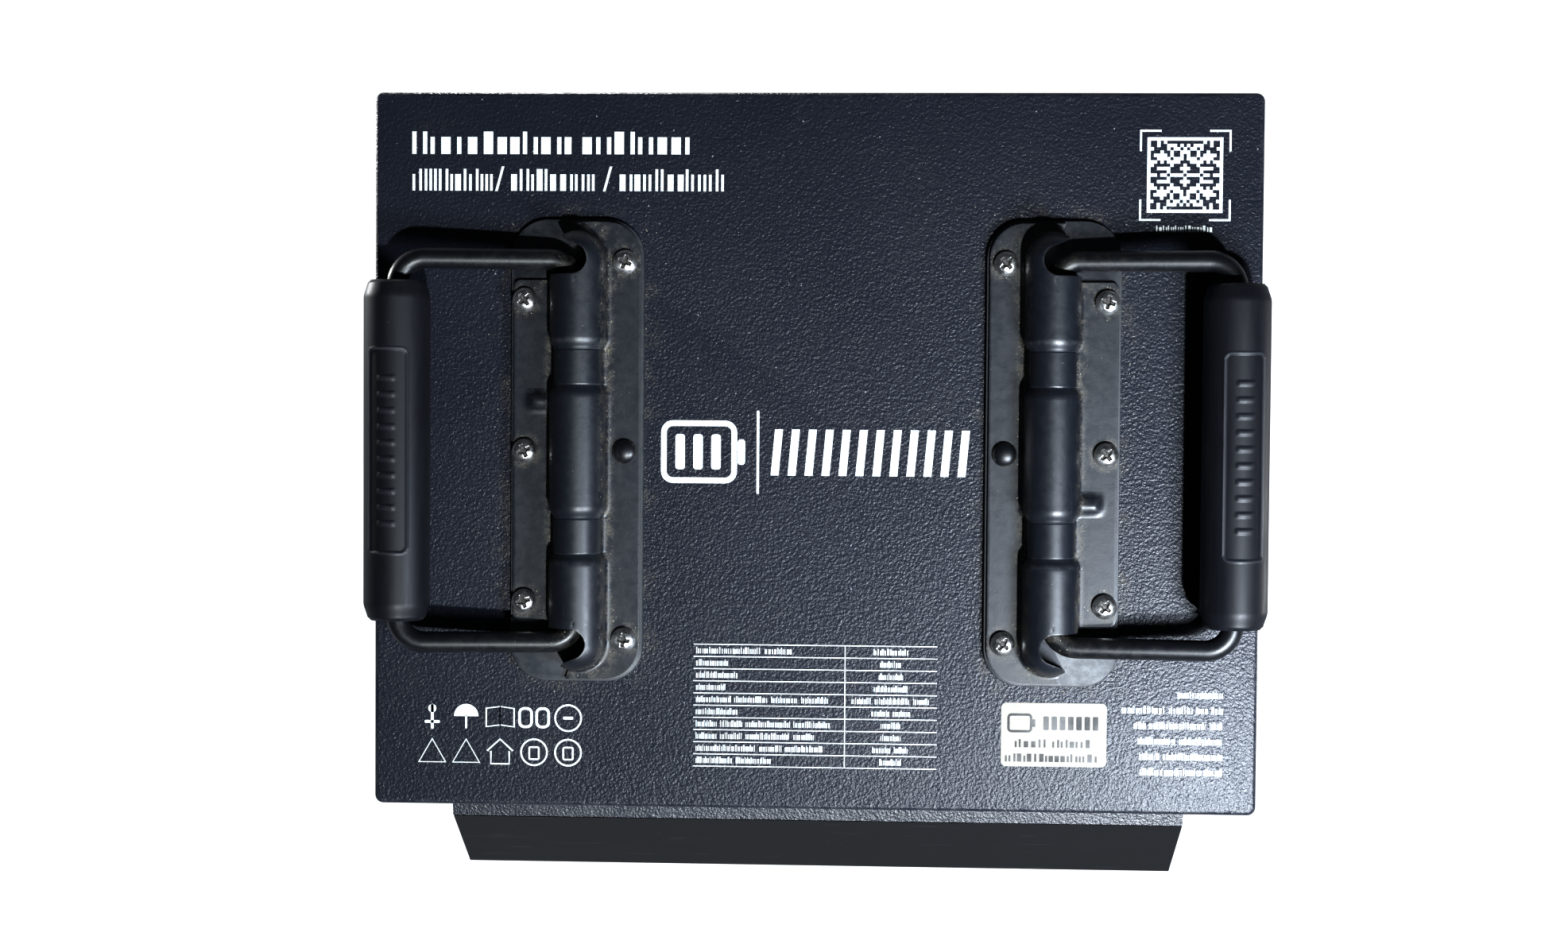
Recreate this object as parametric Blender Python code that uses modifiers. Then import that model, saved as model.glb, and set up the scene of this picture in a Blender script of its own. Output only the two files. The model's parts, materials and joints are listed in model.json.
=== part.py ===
"""Battery pack in a steel case, with two sprung folding handles on its lid.

Units are metres and +Z is up. The origin is under the middle of the pack, on the surface it stands on.
+X is the pack's right, +Y its back, and the socket console is on its front, at -Y.
"""

import math

import bmesh
import bpy
from mathutils import Matrix, Vector

# Driving dimensions of the whole pack
OVERALL_WIDTH = 0.276
OVERALL_DEPTH = 0.2595
OVERALL_HEIGHT = 0.2495
LID_DEPTH = 0.2235
LID_TOP = 0.225

# Sheet, clearances and fastener sizes
SHEET = 0.0012
GAP = 0.0003
FIT_GAP = 0.0004
LID_SKIRT = 0.018
LID_CORNER = 0.0022
LID_FOLD = 0.0014
CASE_CORNER = 0.003

LID_BACK = OVERALL_DEPTH / 2
LID_FRONT = LID_BACK - LID_DEPTH
LID_MID = (LID_BACK + LID_FRONT) / 2
WALL_OFFSET = SHEET + FIT_GAP
CASE_HALF_X = OVERALL_WIDTH / 2 - WALL_OFFSET
CASE_FRONT = LID_FRONT + WALL_OFFSET
CASE_BACK = LID_BACK - WALL_OFFSET
CASE_TOP = LID_TOP - SHEET - GAP
INNER_FRONT = CASE_FRONT + SHEET
INNER_BACK = CASE_BACK - SHEET

# Front console: a coated hood on the case wall and a moulded fascia in front of it
CONSOLE_WIDTH = 0.247
CONSOLE_BASE = 0.012
CONSOLE_FRONT = -OVERALL_DEPTH / 2
HOOD_TOP = 0.1757
HOOD_FRONT = LID_FRONT - 0.0137
HOOD_EDGE_TOP = 0.1724
FASCIA_SHOULDER = 0.1420
FASCIA_WALL = 0.003
HOOD_WALL = 0.0015

# Sockets in the fascia's upright front
POWER_SOCKET_X = -0.062
POWER_SOCKET_Z = 0.082
POWER_SOCKET_SIZE = (0.064, 0.034)
POWER_MOUTH_SIZE = (0.052, 0.022)
POWER_SOCKET_DEPTH = 0.024
CONTACT_SPACING = 0.024
DATA_SOCKET_X = 0.066
DATA_SOCKET_RADIUS = 0.0078
STATUS_LENS_X = 0.004
STATUS_LENS_SIZE = (0.034, 0.006)
WINDOW_MARGIN = 0.0006

# Handles: places of the holes are measured from the hinge axis, with x outward
HANDLE_X = 0.073
AXIS_HEIGHT = 0.0084
BASE_PLATE_THICKNESS = 0.002
PLATE_INNER = -0.0200
PLATE_OUTER = 0.0215
PLATE_HALF_LENGTH = 0.072
PLATE_CORNER = 0.0115
OUTER_FLANGE_HALF = 0.053
RIDGE_RADIUS = 0.0085
RIDGE_HALF_LENGTH = 0.068
WAIST_DEPTH = 0.0010
WAIST_CENTRE = 0.026
WAIST_HALF = 0.0055
WAIST_STEP = 0.0025
SLOT_HALF = 0.0047
SLOT_REACH = 0.0037
OUTER_SCREW_X = 0.0170
OUTER_SCREW_Y = 0.0468
INNER_SCREW_X = -0.0142
INNER_SCREW_Y = 0.0586
SCREW_HEAD_RADIUS = 0.0038
SCREW_HEAD_HEIGHT = 0.0024
SCREW_RADIUS = 0.0020
HOLE_RADIUS = 0.0024
NUT_PLATE_THICKNESS = 0.0025
ROD_RADIUS = 0.00325
ARM_Y = 0.0590
GRIP_X = 0.0547
GRIP_RADIUS = 0.0103
GRIP_LENGTH = 0.104
BAIL_CORNER = 0.0085
BAIL_BEND = 0.008
SPRING_WIRE_RADIUS = 0.0008
SPRING_TURNS = 5

# Heights of the handle's layers, measured from the hinge axis
SIDE_NAMES = {-1: "left", 1: "right"}
BASE_LOW = -AXIS_HEIGHT + GAP
BASE_HIGH = BASE_LOW + BASE_PLATE_THICKNESS
FLANGE_LOW = BASE_HIGH + GAP
FLANGE_HIGH = FLANGE_LOW + SHEET
HEAD_LOW = FLANGE_HIGH + GAP
NUT_PLATE_HIGH = -AXIS_HEIGHT - SHEET - GAP
NUT_PLATE_LOW = NUT_PLATE_HIGH - NUT_PLATE_THICKNESS

# Cells and wiring
CELL_SIZE = (0.1303, 0.0364, 0.196)
CELL_GAP = 0.0008
POST_X = 0.044
POST_RADIUS = 0.007
POST_HEIGHT = 0.003
BUSBAR_WIDTH = 0.018
BUSBAR_THICKNESS = 0.002
BASE_PAD_THICKNESS = 0.003
CELL_ROW_X = CELL_SIZE[0] / 2 + CELL_GAP / 2
CELL_BACK_MARGIN = 0.003
CELL_LOW = SHEET + GAP + BASE_PAD_THICKNESS + GAP
CELL_HIGH = CELL_LOW + CELL_SIZE[2]
POST_TOP = CELL_HIGH + POST_HEIGHT
BUSBAR_LOW = POST_TOP + GAP
BUSBAR_HIGH = BUSBAR_LOW + BUSBAR_THICKNESS
CELL_PITCH = CELL_SIZE[1] + CELL_GAP
CELLS_BACK = INNER_BACK - CELL_BACK_MARGIN
CELLS_FRONT = CELLS_BACK - 4 * CELL_SIZE[1] - 3 * CELL_GAP

# Control board, heat sink and fuse
BOARD_BACK = -0.0600
BOARD_THICKNESS = 0.002
BOARD_TOP = 0.146
SINK_BACK = BOARD_BACK - BOARD_THICKNESS - GAP
SINK_FRONT = INNER_FRONT + GAP
FUSE_LOW = 0.1560
FUSE_SIZE = 0.020

LID_SCREW_Y = 0.070
LID_SCREW_DROP = 0.009

ARC_STEPS = 4
ROUND_STEPS = 16

# ---------------------------------------------------------------- scene and materials


def clear_scene():
    for thing in list(bpy.data.objects):
        bpy.data.objects.remove(thing, do_unlink=True)


def new_collection(name):
    collection = bpy.data.collections.new(name)
    bpy.context.scene.collection.children.link(collection)
    return collection


def new_material(name, colour, roughness, metallic):
    material = bpy.data.materials.new(name)
    material.use_nodes = True
    shader = material.node_tree.nodes["Principled BSDF"]
    shader.inputs["Base Color"].default_value = (*colour, 1.0)
    shader.inputs["Roughness"].default_value = roughness
    shader.inputs["Metallic"].default_value = metallic
    material.diffuse_color = (*colour, 1.0)
    return material


clear_scene()
PARTS = new_collection("battery_pack")
CUTTERS = new_collection("cutters")

LOOKS = {
    "powder_coat": ((0.035, 0.038, 0.048), 0.55, 0.0),
    "black_steel": ((0.02, 0.02, 0.022), 0.4, 0.0),
    "grip_rubber": ((0.016, 0.016, 0.017), 0.6, 0.0),
    "zinc": ((0.72, 0.72, 0.70), 0.3, 1.0),
    "spring_steel": ((0.35, 0.35, 0.36), 0.35, 1.0),
    "fascia_plastic": ((0.018, 0.018, 0.02), 0.35, 0.0),
    "socket_plastic": ((0.22, 0.22, 0.23), 0.5, 0.0),
    "copper": ((0.80, 0.45, 0.28), 0.3, 1.0),
    "cell_wrap": ((0.10, 0.20, 0.42), 0.4, 0.0),
    "aluminium": ((0.75, 0.76, 0.77), 0.35, 1.0),
    "board": ((0.03, 0.16, 0.08), 0.45, 0.0),
    "insulation": ((0.62, 0.60, 0.52), 0.6, 0.0),
    "foam": ((0.05, 0.05, 0.05), 0.8, 0.0),
    "fuse_body": ((0.75, 0.72, 0.65), 0.5, 0.0),
    "lens": ((0.08, 0.09, 0.09), 0.1, 0.0),
}


def dress(thing, look):
    """Give an object its own material, in the named look."""
    colour, roughness, metallic = LOOKS[look]
    thing.data.materials.clear()
    thing.data.materials.append(new_material(f"{thing.name}_{look}", colour, roughness, metallic))


# ---------------------------------------------------------------- shapes


def mesh_object(name, form, collection):
    mesh = bpy.data.meshes.new(name)
    form.to_mesh(mesh)
    form.free()
    thing = bpy.data.objects.new(name, mesh)
    collection.objects.link(thing)
    return thing


def block(name, low, high, collection=PARTS):
    """A box between two corners."""
    low = Vector(low)
    high = Vector(high)
    form = bmesh.new()
    bmesh.ops.create_cube(form, size=1.0)
    bmesh.ops.scale(form, vec=high - low, verts=form.verts)
    bmesh.ops.translate(form, vec=(high + low) / 2, verts=form.verts)
    return mesh_object(name, form, collection)


def round_bar(name, radius, low, high, place, axis="Z", steps=ROUND_STEPS, collection=PARTS):
    """A cylinder from low to high along an axis, through a place on the other two axes."""
    form = bmesh.new()
    bmesh.ops.create_cone(
        form, cap_ends=True, segments=steps, radius1=radius, radius2=radius, depth=high - low
    )
    bmesh.ops.translate(form, vec=(0, 0, (low + high) / 2), verts=form.verts)
    turn = {
        "Z": Matrix.Identity(4),
        "X": Matrix.Rotation(math.pi / 2, 4, "Y"),
        "Y": Matrix.Rotation(-math.pi / 2, 4, "X"),
    }[axis]
    bmesh.ops.transform(form, matrix=Matrix.Translation(place) @ turn, verts=form.verts)
    return mesh_object(name, form, collection)


def rounded_outline(corners, steps=ARC_STEPS):
    """Outline of a polygon whose corners, (x, y, radius), are rounded by arcs."""
    points = []
    count = len(corners)
    for index, (x, y, radius) in enumerate(corners):
        here = Vector((x, y))
        if radius <= 0:
            points.append(here)
            continue
        before = (Vector(corners[index - 1][:2]) - here).normalized()
        after = (Vector(corners[(index + 1) % count][:2]) - here).normalized()
        half = before.angle(after) / 2
        centre = here + (before + after).normalized() * radius / math.sin(half)
        start = here + before * radius / math.tan(half) - centre
        end = here + after * radius / math.tan(half) - centre
        sweep = start.angle_signed(end)
        for step in range(steps + 1):
            angle = -sweep * step / steps
            points.append(centre + Matrix.Rotation(angle, 2) @ start)
    return points


def rectangle(low_x, low_y, high_x, high_y, radius):
    return [(low_x, low_y, radius), (high_x, low_y, radius), (high_x, high_y, radius), (low_x, high_y, radius)]


def as_mesh(curve_object, collection):
    """Turn a curve into a mesh with welded caps, in the same place."""
    depsgraph = bpy.context.evaluated_depsgraph_get()
    mesh = bpy.data.meshes.new_from_object(curve_object.evaluated_get(depsgraph))
    form = bmesh.new()
    form.from_mesh(mesh)
    bmesh.ops.remove_doubles(form, verts=form.verts, dist=0.00001)
    form.to_mesh(mesh)
    form.free()
    name = curve_object.name
    place = curve_object.matrix_world.copy()
    bpy.data.objects.remove(curve_object, do_unlink=True)
    thing = bpy.data.objects.new(name, mesh)
    collection.objects.link(thing)
    thing.matrix_world = place
    return thing


PLANES = {
    "XY": Matrix.Identity(4),
    "YZ": Matrix(((0, 0, 1, 0), (1, 0, 0, 0), (0, 1, 0, 0), (0, 0, 0, 1))),
    "XZ": Matrix(((1, 0, 0, 0), (0, 0, -1, 0), (0, 1, 0, 0), (0, 0, 0, 1))),
}


def extruded(name, outline, low, high, plane="XY", collection=PARTS):
    """A flat outline in a plane, extruded from low to high square to it (towards -Y for XZ)."""
    curve = bpy.data.curves.new(name, "CURVE")
    curve.dimensions = "2D"
    curve.fill_mode = "BOTH"
    curve.extrude = (high - low) / 2
    spline = curve.splines.new("POLY")
    spline.points.add(len(outline) - 1)
    for point, place in zip(spline.points, outline):
        point.co = (place[0], place[1], 0.0, 1.0)
    spline.use_cyclic_u = True
    thing = bpy.data.objects.new(name, curve)
    collection.objects.link(thing)
    thing.matrix_world = PLANES[plane] @ Matrix.Translation((0, 0, (low + high) / 2))
    bpy.context.view_layer.update()
    thing = as_mesh(thing, collection)
    thing.data.transform(thing.matrix_world)
    thing.matrix_world = Matrix.Identity(4)
    return thing


def rod(name, points, radius, collection=PARTS, sides=3):
    """A round rod along a list of points."""
    curve = bpy.data.curves.new(name, "CURVE")
    curve.dimensions = "3D"
    curve.bevel_depth = radius
    curve.bevel_resolution = sides
    curve.use_fill_caps = True
    spline = curve.splines.new("POLY")
    spline.points.add(len(points) - 1)
    for point, place in zip(spline.points, points):
        point.co = (*place, 1.0)
    thing = bpy.data.objects.new(name, curve)
    collection.objects.link(thing)
    bpy.context.view_layer.update()
    return as_mesh(thing, collection)


def turned(name, profile, steps=ROUND_STEPS, closed=False, collection=PARTS):
    """A solid of revolution about Z. The profile, (radius, z), runs from top to bottom."""
    form = bmesh.new()
    points = [form.verts.new((radius, 0, z)) for radius, z in profile]
    for first, second in zip(points, points[1:]):
        form.edges.new((first, second))
    if closed:
        form.edges.new((points[-1], points[0]))
    thing = mesh_object(name, form, collection)
    screw = thing.modifiers.new("turn", "SCREW")
    screw.steps = steps
    screw.render_steps = steps
    screw.use_merge_vertices = True
    screw.merge_threshold = 0.00001
    return thing


def loft(name, sections, collection=PARTS):
    """A closed solid through rings of points that all have the same count."""
    form = bmesh.new()
    rings = [[form.verts.new(point) for point in section] for section in sections]
    for ring, following in zip(rings, rings[1:]):
        count = len(ring)
        for index in range(count):
            following_index = (index + 1) % count
            form.faces.new((ring[index], ring[following_index], following[following_index], following[index]))
    form.faces.new(rings[0])
    form.faces.new(rings[-1])
    bmesh.ops.recalc_face_normals(form, faces=form.faces)
    return mesh_object(name, form, collection)


def bevelled(thing, width, segments=2, angle=40):
    bevel = thing.modifiers.new("edges", "BEVEL")
    bevel.width = width
    bevel.segments = segments
    bevel.limit_method = "ANGLE"
    bevel.angle_limit = math.radians(angle)
    return thing


def combine(thing, other, operation="DIFFERENCE"):
    """Cut an object by a cutter, or join one to it. The other object is kept as a guide."""
    boolean = thing.modifiers.new(operation.lower(), "BOOLEAN")
    boolean.operation = operation
    boolean.solver = "EXACT"
    boolean.object = other
    other.hide_render = True
    other.display_type = "WIRE"
    return thing


def cut_holes(thing, places, radius, low, high, axis="Z"):
    """Drill round holes through an object."""
    for index, place in enumerate(places):
        cutter = round_bar(
            f"{thing.name}_hole_{index}", radius, low, high, place, axis, collection=CUTTERS
        )
        combine(thing, cutter)


def solidify(thing, thickness):
    shell = thing.modifiers.new("sheet", "SOLIDIFY")
    shell.thickness = thickness
    shell.offset = -1.0
    shell.use_even_offset = True


def open_box(name, low, high, open_top, corner, fold):
    """The skin of a box without its top or its bottom, with rounded corners and folds."""
    thing = block(name, low, high)
    form = bmesh.new()
    form.from_mesh(thing.data)
    closed_z = low[2] if open_top else high[2]
    for face in list(form.faces):
        if abs(face.normal.z) > 0.5 and abs(face.calc_center_median().z - closed_z) > 0.001:
            bmesh.ops.delete(form, geom=[face], context="FACES_ONLY")
    upright = [edge for edge in form.edges if abs(edge.verts[0].co.z - edge.verts[1].co.z) > 0.001]
    bmesh.ops.bevel(
        form, geom=upright, offset=corner, segments=4, profile=0.5, affect="EDGES", clamp_overlap=True
    )
    folds = [
        edge
        for edge in form.edges
        if all(abs(vert.co.z - closed_z) < 0.00001 for vert in edge.verts) and len(edge.link_faces) == 2
    ]
    bmesh.ops.bevel(form, geom=folds, offset=fold, segments=3, profile=0.5, affect="EDGES")
    form.to_mesh(thing.data)
    form.free()
    return thing


# ---------------------------------------------------------------- case, lid and console


def handle_hole_places():
    """Where the handles' screws and rivets pass through the lid, as points at Z 0."""
    places = []
    for side in (-1, 1):
        for x, y in fastener_places():
            places.append((side * (HANDLE_X + x), LID_MID + side * y, 0))
    return places


def fastener_places():
    """Screw places in a handle's own frame, with x outward, and the rivet's place last."""
    outer = [(OUTER_SCREW_X, y) for y in (-OUTER_SCREW_Y, 0.0, OUTER_SCREW_Y)]
    inner = [(INNER_SCREW_X, y) for y in (-INNER_SCREW_Y, INNER_SCREW_Y)]
    return outer + inner + [(INNER_SCREW_X, 0.0)]


def make_case_body():
    body = open_box(
        "case_body",
        (-CASE_HALF_X, CASE_FRONT, 0.0),
        (CASE_HALF_X, CASE_BACK, CASE_TOP),
        True,
        CASE_CORNER,
        0.002,
    )
    solidify(body, SHEET)
    window = block(
        "case_window", (-0.060, CASE_FRONT - 0.005, 0.152), (0.060, INNER_FRONT + 0.005, 0.172), CUTTERS
    )
    combine(body, window)
    for side in (-1, 1):
        places = [(0, LID_MID + y, LID_TOP - LID_SCREW_DROP) for y in (-LID_SCREW_Y, LID_SCREW_Y)]
        edge = side * CASE_HALF_X
        cut_holes(body, places, HOLE_RADIUS, edge - 0.006, edge + 0.006, "X")
    dress(body, "powder_coat")


def make_lid():
    half = OVERALL_WIDTH / 2
    lid = open_box(
        "lid",
        (-half, LID_FRONT, LID_TOP - LID_SKIRT),
        (half, LID_BACK, LID_TOP),
        False,
        LID_CORNER,
        LID_FOLD,
    )
    solidify(lid, SHEET)
    cut_holes(lid, handle_hole_places(), HOLE_RADIUS, LID_TOP - 0.005, LID_TOP + 0.005)
    for side in (-1, 1):
        places = [(0, LID_MID + y, LID_TOP - LID_SCREW_DROP) for y in (-LID_SCREW_Y, LID_SCREW_Y)]
        edge = side * half
        cut_holes(lid, places, SCREW_HEAD_RADIUS + GAP, edge - 0.0014, edge + 0.004, "X")
    dress(lid, "powder_coat")


def make_lid_screws():
    """Flush screws through the lid's skirt into the case wall."""
    count = 0
    for side in (-1, 1):
        for y in (-LID_SCREW_Y, LID_SCREW_Y):
            count += 1
            profile = [
                (0.0, -0.0001),
                (SCREW_HEAD_RADIUS, -0.0001),
                (SCREW_HEAD_RADIUS, -0.0005),
                (SCREW_RADIUS, -0.0013),
                (SCREW_RADIUS, -0.0100),
                (0.0, -0.0100),
            ]
            screw = turned(f"lid_screw_{count}", profile)
            screw.location = (side * OVERALL_WIDTH / 2, LID_MID + y, LID_TOP - LID_SCREW_DROP)
            screw.rotation_euler = (0, side * math.pi / 2, 0)
            dress(screw, "zinc")


def make_console_hood():
    """A folded frame on the case's front wall, with a sloping top strip."""
    half = CONSOLE_WIDTH / 2
    back = CASE_FRONT - GAP
    outline = [
        (back, CONSOLE_BASE),
        (back, HOOD_TOP),
        (HOOD_FRONT, HOOD_EDGE_TOP),
        (HOOD_FRONT, CONSOLE_BASE),
    ]
    hood = extruded("console_hood", outline, -half, half, "YZ")
    slope = Vector((HOOD_FRONT - back, HOOD_EDGE_TOP - HOOD_TOP))
    drop = HOOD_WALL * slope.length / abs(slope.x)
    run_out = 0.004
    fall = slope.y / slope.x
    inside = [
        (back + run_out, CONSOLE_BASE + HOOD_WALL),
        (back + run_out, HOOD_TOP - drop + fall * run_out),
        (HOOD_FRONT - run_out, HOOD_EDGE_TOP - drop - fall * run_out),
        (HOOD_FRONT - run_out, CONSOLE_BASE + HOOD_WALL),
    ]
    inner_half = half - HOOD_WALL
    cutter = extruded("hood_inside", inside, -inner_half, inner_half, "YZ", CUTTERS)
    combine(hood, cutter)
    dress(hood, "powder_coat")


def fascia_outline(inset, open_back):
    """Side outline of the fascia, drawn inwards by inset and run out at the back."""
    back = HOOD_FRONT - GAP + open_back
    front = CONSOLE_FRONT + inset
    base = CONSOLE_BASE + inset
    slope = Vector((CONSOLE_FRONT - HOOD_FRONT, FASCIA_SHOULDER - HOOD_EDGE_TOP))
    drop = inset * slope.length / abs(slope.x)
    fall = slope.y / slope.x
    top_back = HOOD_EDGE_TOP - drop + fall * (back - HOOD_FRONT)
    top_front = HOOD_EDGE_TOP - drop + fall * (front - HOOD_FRONT)
    return [(back, base, 0), (back, top_back, 0), (front, top_front, 0.003), (front, base, 0.003)]


def make_console_fascia():
    """Moulded front of the console: a sloping upper face above an upright face with the sockets."""
    half = CONSOLE_WIDTH / 2
    fascia = extruded(
        "console_fascia", rounded_outline(fascia_outline(0.0, 0.0), 4), -half, half, "YZ"
    )
    bevelled(fascia, 0.0022, 3, 60)
    inner_half = half - FASCIA_WALL
    inside = rounded_outline(fascia_outline(FASCIA_WALL, 0.004), 2)
    combine(fascia, extruded("fascia_inside", inside, -inner_half, inner_half, "YZ", CUTTERS))
    depth = 0.006
    for name, x, z, width, height in socket_windows():
        window = block(
            f"fascia_{name}_window",
            (x - width / 2, CONSOLE_FRONT - depth, z - height / 2),
            (x + width / 2, CONSOLE_FRONT + depth, z + height / 2),
            CUTTERS,
        )
        combine(fascia, window)
    cut_holes(
        fascia,
        [(DATA_SOCKET_X, 0, POWER_SOCKET_Z)],
        DATA_SOCKET_RADIUS + GAP,
        CONSOLE_FRONT - depth,
        CONSOLE_FRONT + depth,
        "Y",
    )
    dress(fascia, "fascia_plastic")


def socket_windows():
    """Rectangular openings in the fascia: name, x, z, width and height."""
    power = (POWER_MOUTH_SIZE[0] + 2 * WINDOW_MARGIN, POWER_MOUTH_SIZE[1] + 2 * WINDOW_MARGIN)
    lens = (STATUS_LENS_SIZE[0] + 2 * WINDOW_MARGIN, STATUS_LENS_SIZE[1] + 2 * WINDOW_MARGIN)
    return [
        ("power", POWER_SOCKET_X, POWER_SOCKET_Z, *power),
        ("status", STATUS_LENS_X, POWER_SOCKET_Z, *lens),
    ]


def make_power_socket():
    """A flanged moulding behind the fascia, open to the front, with two flat contacts in its mouth."""
    width, height = POWER_SOCKET_SIZE
    mouth_width, mouth_height = POWER_MOUTH_SIZE
    front = CONSOLE_FRONT + FASCIA_WALL + GAP
    back = front + POWER_SOCKET_DEPTH
    mouth_floor = back - 0.005
    low = (POWER_SOCKET_X - width / 2, front, POWER_SOCKET_Z - height / 2)
    high = (POWER_SOCKET_X + width / 2, back, POWER_SOCKET_Z + height / 2)
    socket = bevelled(block("power_socket", low, high), 0.001, 1)
    mouth = block(
        "power_mouth",
        (POWER_SOCKET_X - mouth_width / 2, front - 0.004, POWER_SOCKET_Z - mouth_height / 2),
        (POWER_SOCKET_X + mouth_width / 2, mouth_floor, POWER_SOCKET_Z + mouth_height / 2),
        CUTTERS,
    )
    combine(socket, mouth)
    dress(socket, "socket_plastic")
    for name, side in (("contact_positive", 1), ("contact_negative", -1)):
        x = POWER_SOCKET_X + side * CONTACT_SPACING / 2
        blade = block(
            name,
            (x - 0.007, mouth_floor - GAP - 0.013, POWER_SOCKET_Z - 0.0015),
            (x + 0.007, mouth_floor - GAP, POWER_SOCKET_Z + 0.0015),
        )
        bevelled(blade, 0.0006, 2)
        dress(blade, "copper")


def make_data_socket():
    """A round shell with a blind mouth, flush with the fascia, and a flange behind it."""
    front = 0.0002
    flange_front = FASCIA_WALL + GAP
    profile = [
        (0.0, -0.0085),
        (0.0060, -0.0085),
        (0.0060, -front),
        (DATA_SOCKET_RADIUS, -front),
        (DATA_SOCKET_RADIUS, -flange_front),
        (0.0110, -flange_front),
        (0.0110, -flange_front - 0.002),
        (0.0070, -flange_front - 0.002),
        (0.0070, -0.0180),
        (0.0, -0.0180),
    ]
    socket = turned("data_socket", profile, 24)
    socket.location = (DATA_SOCKET_X, CONSOLE_FRONT, POWER_SOCKET_Z)
    socket.rotation_euler = (math.pi / 2, 0, 0)
    dress(socket, "zinc")


def make_status_lens():
    """A stepped light window: its nose fills the fascia's slot and its flange sits behind it."""
    width, height = STATUS_LENS_SIZE
    nose_back = CONSOLE_FRONT + FASCIA_WALL + GAP
    lens = block(
        "status_lens",
        (STATUS_LENS_X - width / 2, CONSOLE_FRONT + 0.0003, POWER_SOCKET_Z - height / 2),
        (STATUS_LENS_X + width / 2, nose_back + 0.001, POWER_SOCKET_Z + height / 2),
    )
    flange = block(
        "lens_flange",
        (STATUS_LENS_X - width / 2 - 0.003, nose_back, POWER_SOCKET_Z - height / 2 - 0.003),
        (STATUS_LENS_X + width / 2 + 0.003, nose_back + 0.0015, POWER_SOCKET_Z + height / 2 + 0.003),
        CUTTERS,
    )
    combine(lens, flange, "UNION")
    dress(lens, "lens")


# ---------------------------------------------------------------- handles


def handle_frame(side):
    """Empty on a handle's hinge axis. Its +X points outward, so the right side isn't turned."""
    frame = bpy.data.objects.new(f"hinge_{SIDE_NAMES[side]}", None)
    PARTS.objects.link(frame)
    frame.location = (side * HANDLE_X, LID_MID, LID_TOP + AXIS_HEIGHT)
    frame.rotation_euler = (0, 0, 0 if side > 0 else math.pi)
    return frame


def plate_outline(inset=0.0):
    return rectangle(
        PLATE_INNER + inset,
        -PLATE_HALF_LENGTH + inset,
        PLATE_OUTER - inset,
        PLATE_HALF_LENGTH - inset,
        PLATE_CORNER - inset,
    )


def attach(pieces, frame):
    """Parent pieces, and the cutters of their holes, to a handle's frame."""
    for piece in pieces:
        piece.parent = frame
        for modifier in piece.modifiers:
            if modifier.type == "BOOLEAN":
                modifier.object.parent = frame


def make_base_plate(side, frame):
    name = f"base_plate_{SIDE_NAMES[side]}"
    plate = extruded(name, rounded_outline(plate_outline()), BASE_LOW, BASE_HIGH)
    holes = [(x, y, 0) for x, y in fastener_places()]
    cut_holes(plate, holes, HOLE_RADIUS, BASE_LOW - 0.002, BASE_HIGH + 0.002)
    dress(plate, "black_steel")
    attach([plate], frame)


def make_nut_plate(side, frame):
    name = f"nut_plate_{SIDE_NAMES[side]}"
    plate = extruded(name, rounded_outline(plate_outline(0.003), 3), NUT_PLATE_LOW, NUT_PLATE_HIGH)
    holes = [(x, y, 0) for x, y in fastener_places()]
    cut_holes(plate, holes, HOLE_RADIUS, NUT_PLATE_LOW - 0.002, NUT_PLATE_HIGH + 0.002)
    dress(plate, "zinc")
    attach([plate], frame)


def ridge_radius(y, radius):
    """Half width of the ridge at a place along it: two waists, and a round dome at each end."""
    reach = abs(y)
    dome = max(reach - (RIDGE_HALF_LENGTH - RIDGE_RADIUS), 0.0)
    width = radius
    if abs(reach - WAIST_CENTRE) < WAIST_HALF + 0.0001:
        width -= WAIST_DEPTH
    return math.sqrt(max(width**2 - dome**2, 0.0))


def ridge_stations(radius):
    """Places along the ridge where a section is drawn: both ends of each waist's steps, and the domes."""
    end = RIDGE_HALF_LENGTH - RIDGE_RADIUS
    places = [0.0]
    places += [WAIST_CENTRE - WAIST_HALF - WAIST_STEP, WAIST_CENTRE - WAIST_HALF]
    places += [WAIST_CENTRE + WAIST_HALF, WAIST_CENTRE + WAIST_HALF + WAIST_STEP, end]
    places += [end + radius * math.sin(math.radians(angle)) for angle in (20, 40, 60, 76, 86)]
    return [-place for place in reversed(places[1:])] + places


def ridge_form(name, radius, foot):
    """Solid under the ridge's skin: a round top on upright sides, lofted along the ridge."""
    sections = []
    for y in ridge_stations(radius):
        width = ridge_radius(y, radius)
        section = [(width, y, foot)]
        for step in range(9):
            angle = math.pi * step / 8
            section.append((width * math.cos(angle), y, width * math.sin(angle)))
        section.append((-width, y, foot))
        sections.append(section)
    return loft(name, sections, CUTTERS)


def cover_outline():
    """The inner flange runs the whole length, and the outer flange is shorter between the bail's arms."""
    long_half = PLATE_HALF_LENGTH
    short_half = OUTER_FLANGE_HALF
    neck = 0.0045
    return [
        (PLATE_INNER, -long_half, PLATE_CORNER),
        (neck, -long_half, 0.003),
        (neck, -short_half, 0),
        (PLATE_OUTER, -short_half, 0.002),
        (PLATE_OUTER, short_half, 0.002),
        (neck, short_half, 0),
        (neck, long_half, 0.003),
        (PLATE_INNER, long_half, PLATE_CORNER),
    ]


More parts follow.
